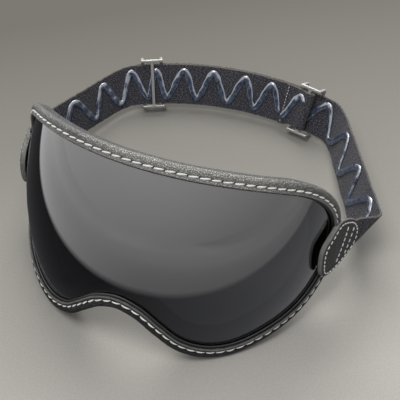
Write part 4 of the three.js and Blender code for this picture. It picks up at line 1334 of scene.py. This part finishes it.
def band_profile(width, thickness, spans=22, corner_steps=5):
    """Closed flat profile with round edges: heights from the middle, depths, and whether at the edge."""
    radius = thickness / 2
    reach = width / 2 - radius
    inner = [(x, 0.0, 0.0) for x in np.linspace(-reach, reach, spans + 1)]
    turns = np.linspace(-math.pi / 2, math.pi / 2, corner_steps + 2)[1:-1]
    top = [(reach + radius * math.cos(t), radius + radius * math.sin(t), 1.0) for t in turns]
    outer = [(x, thickness, 0.0) for x in np.linspace(reach, -reach, spans + 1)]
    low = [(-reach - radius * math.cos(t), radius - radius * math.sin(t), 1.0) for t in turns]
    return np.array(inner + top + outer + low)


def elastic_piece(name, rows, profile, along):
    """Swept elastic with pale edges, brightened as a painted highlight."""
    marks = {"selvage_highlight": np.tile(profile[:, 2] * SELVAGE_HIGHLIGHT_SHARE, (len(along), 1))}
    return swept_piece(name, rows, ELASTIC, False, along, girth_of(profile[:, :2]), marks)


def make_band(name, strap):
    """Elastic band with round edges and a slightly uneven lie between its sewn ends."""
    profile = band_profile(STRAP_WIDTH, STRAP_THICKNESS)
    along = np.arange(0, strap.length, BAND_STEP)
    along[-1] = strap.length
    sway = BAND_SWAY * ripple(along, *BAND_SWAY_WAVES)
    fray = BAND_FRAY * ripple(along, *BAND_FRAY_WAVES)[:, None] * profile[:, 2] * np.sign(profile[:, 0])
    leaving = smooth_step((along - strap.run_start) / BAND_FREE_RAMP)
    ending = smooth_step((strap.length - along) / BAND_FREE_RAMP)
    depth = profile[None, :, 1] + (sway * leaving * ending)[:, None]
    rows = strap.place(along[:, None], profile[None, :, 0] + fray, depth)
    return elastic_piece(name, rows, profile, along)


def bead_wave(turns, along):
    """Height and slope of the hand-drawn wave."""
    turns = np.asarray(turns, float)
    after = np.clip(np.searchsorted(turns, along, side="right"), 1, len(turns) - 1)
    gap = turns[after] - turns[after - 1]
    phase = math.pi * (after - 1 + (along - turns[after - 1]) / gap)
    return BEAD_SWING * np.cos(phase), -BEAD_SWING * math.pi / gap * np.sin(phase)


def make_bead(name, place, start, end, turns):
    """Half-round bead squeezed out along the wave, with round ends and an uneven width."""
    along = np.linspace(start, end, int((end - start) / BEAD_STEP))
    across, slope = bead_wave(turns, along)
    run = distances(np.stack([along, across], -1))
    ends = np.sqrt(np.clip(np.minimum(run, run[-1] - run) / BEAD_WIDTH * 2, BEAD_TIP, 1))
    width = BEAD_WIDTH / 2 * ends * (1 + BEAD_UNEVEN * ripple(run, *BEAD_WAVES))
    height = BEAD_HEIGHT * ends * (1 + BEAD_UNEVEN * ripple(run, *BEAD_WAVES))
    turn = np.linspace(0, math.pi, BEAD_ROUND_STEPS)
    dome = np.stack([np.cos(turn), np.sin(turn) ** BEAD_FULLNESS], -1)
    profile = np.concatenate([dome, BEAD_FOOT])
    sideways = unit(np.stack([-slope, np.ones_like(slope)], -1))
    aside = profile[None, :, 0] * width[:, None]
    rows = place(
        along[:, None] + sideways[:, 0:1] * aside,
        across[:, None] + sideways[:, 1:2] * aside,
        -profile[None, :, 1] * height[:, None])
    return swept_piece(name, rows, SILICONE, False, run)


# Sewn end folded round the right slider's bar

def make_sewn_end():
    """Ribbon from under the band's end, round the bar and back over itself."""
    track = Track(catmull_rom(SEWN_PATH, SEWN_SPAN_STEPS, False), False)
    at = np.linspace(0, track.length, SEWN_STEPS)
    centre = track.place(at)
    left = left_of(track.along(at))
    profile = band_profile(STRAP_WIDTH, SEWN_THICKNESS)
    near_bar = smooth_step((SEWN_INSET_FROM - centre[:, 0]) / SEWN_INSET_RAMP)[:, None]
    low = SEWN_LOW_INSET * near_bar
    high = STRAP_WIDTH - SEWN_HIGH_INSET * near_bar
    across = low + (high - low) * (profile[None, :, 0] / STRAP_WIDTH + 0.5)
    lift = profile[None, :, 1] - SEWN_THICKNESS / 2
    x = centre[:, 0:1] + left[:, 0:1] * lift
    y = centre[:, 1:2] + left[:, 1:2] * lift
    rows = on_loop(SLIDER_RIGHT_ANGLE + x / LOOP_RADIUS, across, y)
    piece = elastic_piece("strap_fold", rows, profile, at)
    return ride(piece, "right_slider", "strap_elastic", "strap_left_sewn_end")


def on_sewn_end(to_fold, across, depth):
    """Place on the sewn end's front by distance from the bar, height from the middle and depth."""
    rise = np.clip((FOLD_LENGTH - np.asarray(to_fold, float)) / FOLD_LENGTH, 0, 1)
    front = SEWN_FRONT + (FOLD_FRONT - SEWN_FRONT) * rise + SEWN_FRONT_GAP
    return on_loop(SLIDER_RIGHT_ANGLE + to_fold / LOOP_RADIUS, STRAP_WIDTH / 2 + across, front + depth)


def make_straps():
    """Both bands, the sewn end and the bead; the left band and its bead are baked in place and ride on no
    body.
    """
    left_band = make_band("strap_band_left", LEFT_STRAP)
    right_band = make_band("strap_band_right", RIGHT_STRAP)
    make_sewn_end()
    middle_radius = LOOP_RADIUS + STRAP_WIDTH / 2 * math.sin(STRAP_LEAN)
    middle_share = LOOP_RADIUS / middle_radius
    sewn_start = LEFT_STRAP.length - (SEWN_LAP + CLEARANCE) / middle_share
    right_radius = middle_radius + RIGHT_STRAP_INNER * math.cos(STRAP_LEAN)
    right_stop = RIGHT_STRAP.length - (RIGHT_END - SLIDER_RIGHT_ANGLE) * right_radius

    def on_fold(along, across, depth):
        to_fold = SEWN_LENGTH + CLEARANCE - (along - sewn_start) * middle_share
        return on_sewn_end(to_fold, across, depth)

    left_bead = make_bead(
        "grip_wave_left", LEFT_STRAP.place, LEFT_STRAP.run_start + BEAD_START_MARGIN,
        sewn_start - BEAD_SEWN_GAP, BEAD_LEFT_TURNS)
    right_bead = make_bead(
        "grip_wave_right", RIGHT_STRAP.place, RIGHT_STRAP.run_start + BEAD_START_MARGIN,
        right_stop, BEAD_RIGHT_TURNS)
    fold_bead = make_bead(
        "grip_wave_fold", on_fold, sewn_start + BEAD_FOLD_MARGIN, sewn_start + SEWN_LENGTH, BEAD_LEFT_TURNS)
    ride(right_band, "goggles", "strap_elastic", "strap_right")
    ride(right_bead, "goggles", "grip_silicone", "grip_bead_right")
    ride(fold_bead, "right_slider", "grip_silicone", "grip_bead_sewn_end")
    stretch_from = Vector(on_loop(STRETCH_ANGLE, STRAP_WIDTH / 2, 0) * MM)
    stretch_to = Vector(on_loop(LEFT_END, STRAP_WIDTH / 2, 0) * MM)
    stretched = (
        (left_band, "strap_elastic", "strap_left"),
        (left_bead, "grip_silicone", "grip_bead_left"),
    )
    for piece, slot, node in stretched:
        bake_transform(piece)
        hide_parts(node)


def fold_seam():
    """One row of stitches across the sewn end, near the end of its front layer."""
    reach = STRAP_WIDTH / 2 - FOLD_SEAM_MARGIN
    across = np.linspace(-reach, reach, FOLD_SEAM_HOLES)
    to_fold = np.full(FOLD_SEAM_HOLES, SEWN_LENGTH - FOLD_SEAM_INSET)
    return seam_points(on_sewn_end(to_fold, across, -FOLD_SEAM_SINK), on_sewn_end(to_fold, across, -1))


# Sliders

def make_slider(label, body):
    """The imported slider's own shape with its sharp edges rounded off."""
    node = f"slider_{label}"
    mesh = frame["nodes"][node].data.copy()
    mesh.name = f"wire_buckle_{label}"
    mesh.materials.clear()
    shape = bmesh.new()
    shape.from_mesh(mesh)
    bmesh.ops.remove_doubles(shape, verts=shape.verts, dist=SLIDER_WELD * MM)
    bmesh.ops.dissolve_limit(shape, angle_limit=SLIDER_FLAT_ANGLE, verts=shape.verts, edges=shape.edges)
    closed = [edge for edge in shape.edges if len(edge.link_faces) == 2]
    sharp = [edge for edge in closed if edge.calc_face_angle() > SLIDER_SHARP_ANGLE]
    bmesh.ops.bevel(
        shape, geom=sharp, offset=SLIDER_ROUNDING * MM, offset_type="OFFSET", segments=SLIDER_ROUND_STEPS,
        profile=0.5, affect="EDGES", clamp_overlap=True)
    bmesh.ops.triangulate(shape, faces=shape.faces)
    shape.to_mesh(mesh)
    shape.free()
    return ride(finished(mesh, METAL), body, "slider_metal", node)


# Floor and light in metres; a level is given as two places and the brightness at each

BACKDROP = (0.27, 0.261, 0.243, 1)
# Floor colours with painted light falloff: light in front, dark at the back
FLOOR_FRONT = (0.447, 0.426, 0.394, 1)
FLOOR_BACK = (0.140, 0.134, 0.115, 1)
FLOOR_SPECK = grey(0.12)
FLOOR_REACH = 3.0
FLOOR_LEAN = -0.75
FLOOR_SPAN = (-0.17, 0.27)
FLOOR_CURVE = 0.75
FLOOR_FADE = (0.7, 2.2)
# Painted reflection seen by mirrored rays in place of the floor
MIRROR_MIDDLE = 0.010
MIRROR_BEND = 2.3
MIRROR_START = -0.210
MIRROR_EDGE = (-0.016, 0.008)
MIRROR_NEAR_CAST = (0.99, 1.0, 1.06, 1)
WHITE = (1, 1, 1, 1)
NEAR_LEVEL = (-0.07, 0.16, 0.045, 0.32)
SIDE_LEVEL = (-0.3, 0.3, 0.92, 0.79)
RIGHT_LEVEL = (0.22, 0.5, 1.0, 0.8)
RIGHT_SKEW = 0.3
FIRST_LEVEL = (-0.2, 0.0, 1.25, 0.83)
FIRST_REACH = 0.25
FAR_BRIGHTNESS = 1.3
LAST_LEVEL = (0.2, 0.8, 0.0, 0.3)
FILL_COLOUR = (0.98, 0.99, 1.0, 1)
FILL_STRENGTH = 0.52
# Painted reflections: the sky and the softbox are seen only by mirrored rays
SKY_LEVEL = (0.0, 0.42, 1.70, 2.4)
SKY_SLANT = -0.42
SOFTBOX_AIM = (-0.24, 0.6, 0.76)
SOFTBOX_LEVEL = (0.72, 0.93, 0.0, 7.0)
LAMP_TARGET = (0, 0, 0.03)


def mirrored_floor(tree, x, y):
    """Painted reflection: glow that only mirrored rays see in place of the floor, dark in front of a curved
    edge, bright beyond it.
    """
    across = maths(tree, "SUBTRACT", x, MIRROR_MIDDLE)
    edge = maths(tree, "MULTIPLY_ADD", maths(tree, "MULTIPLY", across, across), MIRROR_BEND, MIRROR_START)
    past = maths(tree, "SUBTRACT", edge, y)
    beyond = remap(tree, past, *MIRROR_EDGE)
    near = remap(tree, x, *NEAR_LEVEL)
    aside = maths(tree, "MULTIPLY_ADD", y, RIGHT_SKEW, x)
    turned = maths(tree, "MULTIPLY", remap(tree, x, *SIDE_LEVEL), remap(tree, aside, *RIGHT_LEVEL))
    first = remap(tree, past, 0.0, FIRST_REACH, remap(tree, x, *FIRST_LEVEL), FAR_BRIGHTNESS)
    slope = maths(tree, "ADD", first, remap(tree, past, *LAST_LEVEL))
    far = maths(tree, "MULTIPLY", slope, turned)
    level = maths(tree, "MULTIPLY_ADD", maths(tree, "SUBTRACT", far, near), beyond, near)
    cast = mix_colour(tree, beyond, MIRROR_NEAR_CAST, WHITE)
    return add_node(tree, "ShaderNodeEmission", {"Color": cast, "Strength": level})


def make_floor():
    """Pale floor, darker to the back and left as painted light falloff, that fades into the backdrop;
    mirrored rays see another one, a painted reflection.
    """
    corners = [(x * FLOOR_REACH, y * FLOOR_REACH, 0) for x, y in ((-1, -1), (1, -1), (1, 1), (-1, 1))]
    mesh = bpy.data.meshes.new("floor")
    mesh.from_pydata(corners, [], [(0, 1, 2, 3)])
    floor = add_object("floor", mesh)
    material, tree, shader = new_material("pale_floor", 0.9, Specular_IOR_Level=0.0)
    place = object_coords(tree)
    x, y, _ = add_node(tree, "ShaderNodeSeparateXYZ", {0: place}).outputs
    # Painted light falloff: the floor's colour darkens to the back and left
    lean = maths(tree, "MULTIPLY_ADD", x, FLOOR_LEAN, y)
    back = maths(tree, "POWER", remap(tree, lean, *FLOOR_SPAN), FLOOR_CURVE)
    tone = mix_colour(tree, back, FLOOR_FRONT, FLOOR_BACK)
    speckle = remap(tree, noise(tree, place, 1000.0, 3.0, 0.7), 0.35, 0.65, 0.0, 0.2)
    feed(tree, shader, Base_Color=mix_colour(tree, speckle, tone, FLOOR_SPECK))
    ray = add_node(tree, "ShaderNodeLightPath").outputs
    distance = vector_maths(tree, "LENGTH", {0: place})["Value"]
    fade = maths(tree, "MULTIPLY", remap(tree, distance, *FLOOR_FADE), ray["Is Camera Ray"])
    backdrop = add_node(tree, "ShaderNodeEmission", {"Color": BACKDROP})
    shown = mix_shader(tree, fade, shader, backdrop)
    mixed = mix_shader(tree, ray["Is Glossy Ray"], shown, mirrored_floor(tree, x, y))
    feed(tree, tree.nodes["Material Output"], Surface=mixed.outputs[0])
    mesh.materials.append(material)


def make_world():
    """Even fill; mirrored rays see painted reflections of a brighter room and a softbox behind the object,
    which give only highlights.
    """
    world = bpy.data.worlds.new("studio")
    bpy.context.scene.world = world
    world.use_nodes = True
    tree = world.node_tree
    tree.nodes.clear()
    looking = add_node(tree, "ShaderNodeTexCoord").outputs["Generated"]
    x, _, z = add_node(tree, "ShaderNodeSeparateXYZ", {0: looking}).outputs
    sky = maths(tree, "MULTIPLY_ADD", x, SKY_SLANT, remap(tree, z, *SKY_LEVEL))
    towards = vector_maths(tree, "DOT_PRODUCT", {0: looking, 1: SOFTBOX_AIM})["Value"]
    glow = maths(tree, "ADD", sky, remap(tree, towards, *SOFTBOX_LEVEL))
    fill = add_node(tree, "ShaderNodeBackground", {"Color": FILL_COLOUR, "Strength": FILL_STRENGTH})
    mirror = add_node(tree, "ShaderNodeBackground", {"Strength": glow})
    shown = add_node(tree, "ShaderNodeBackground", {"Color": BACKDROP, "Strength": 1.0})
    ray = add_node(tree, "ShaderNodeLightPath").outputs
    lit = mix_shader(tree, ray["Is Glossy Ray"], fill, mirror)
    seen = mix_shader(tree, ray["Is Camera Ray"], lit, shown)
    feed(tree, add_node(tree, "ShaderNodeOutputWorld"), Surface=seen.outputs[0])


def add_lamp(name, place, size, power):
    lamp = bpy.data.lights.new(name, "AREA")
    lamp.shape = "DISK"
    lamp.size = size
    lamp.energy = power
    holder = add_object(name, lamp)
    holder.location = place
    holder.rotation_euler = (Vector(LAMP_TARGET) - Vector(place)).to_track_quat("-Z", "Y").to_euler()


def make_camera():
    a = CAMERA_AZIMUTH
    e = CAMERA_ELEVATION
    right = np.array([math.cos(a), math.sin(a), 0])
    up = np.array([-math.sin(a) * math.sin(e), math.cos(a) * math.sin(e), math.cos(e)])
    back = np.array([math.sin(a) * math.cos(e), -math.cos(a) * math.cos(e), math.sin(e)])
    eye = LENS_MIDDLE + right * CAMERA_SIDE + up * CAMERA_RISE + back * CAMERA_DISTANCE
    camera = bpy.data.cameras.new("camera")
    camera.lens = CAMERA_LENS
    camera.sensor_width = CAMERA_SENSOR
    camera.clip_start = 0.01
    holder = add_object("camera", camera)
    pose = np.eye(4)
    pose[:3] = np.stack([right, up, back, eye * MM], -1)
    holder.matrix_world = Matrix(pose.tolist())
    bpy.context.scene.camera = holder


make_camera()
make_lens()
make_channel()
make_binding("binding_leather_top", TOP_BINDING, BROW_LEATHER_PAINTED_LIT, "binding_top")
make_binding("binding_leather_bottom", BOTTOM_BINDING, CHEEK_LEATHER, "binding_bottom")
make_seal()
tab_rows = []
lining_rows = []
for label, side in SIDES.items():
    make_tab(side, label)
    tab_rows += tab_seams(side)
    lining_rows.append(make_backing(side, label))
make_straps()
for label in SIDES:
    make_slider(label, f"{label}_slider")
rim_rows = [rim_seam(ends) for ends in (TOP_BINDING, BOTTOM_BINDING)]
sew("rim_stitches", rim_rows, RIM_STITCH_LENGTH, RIM_THREAD_RADIUS, "goggles")
sew("tab_stitches", tab_rows, TAB_STITCH_LENGTH, TAB_THREAD_RADIUS, "goggles")
sew("lining_stitches", lining_rows, TAB_STITCH_LENGTH, TAB_THREAD_RADIUS, "goggles")
sew("fold_stitches", [fold_seam()], FOLD_STITCH_LENGTH, FOLD_THREAD_RADIUS, "right_slider")
make_floor()
make_world()
add_lamp("back_lamp", place=(-0.3, 0.75, 0.95), size=0.72, power=10)
add_lamp("front_lamp", place=(-0.1, -0.42, 1.2), size=0.55, power=7.5)
bpy.context.scene.view_settings.view_transform = "Standard"
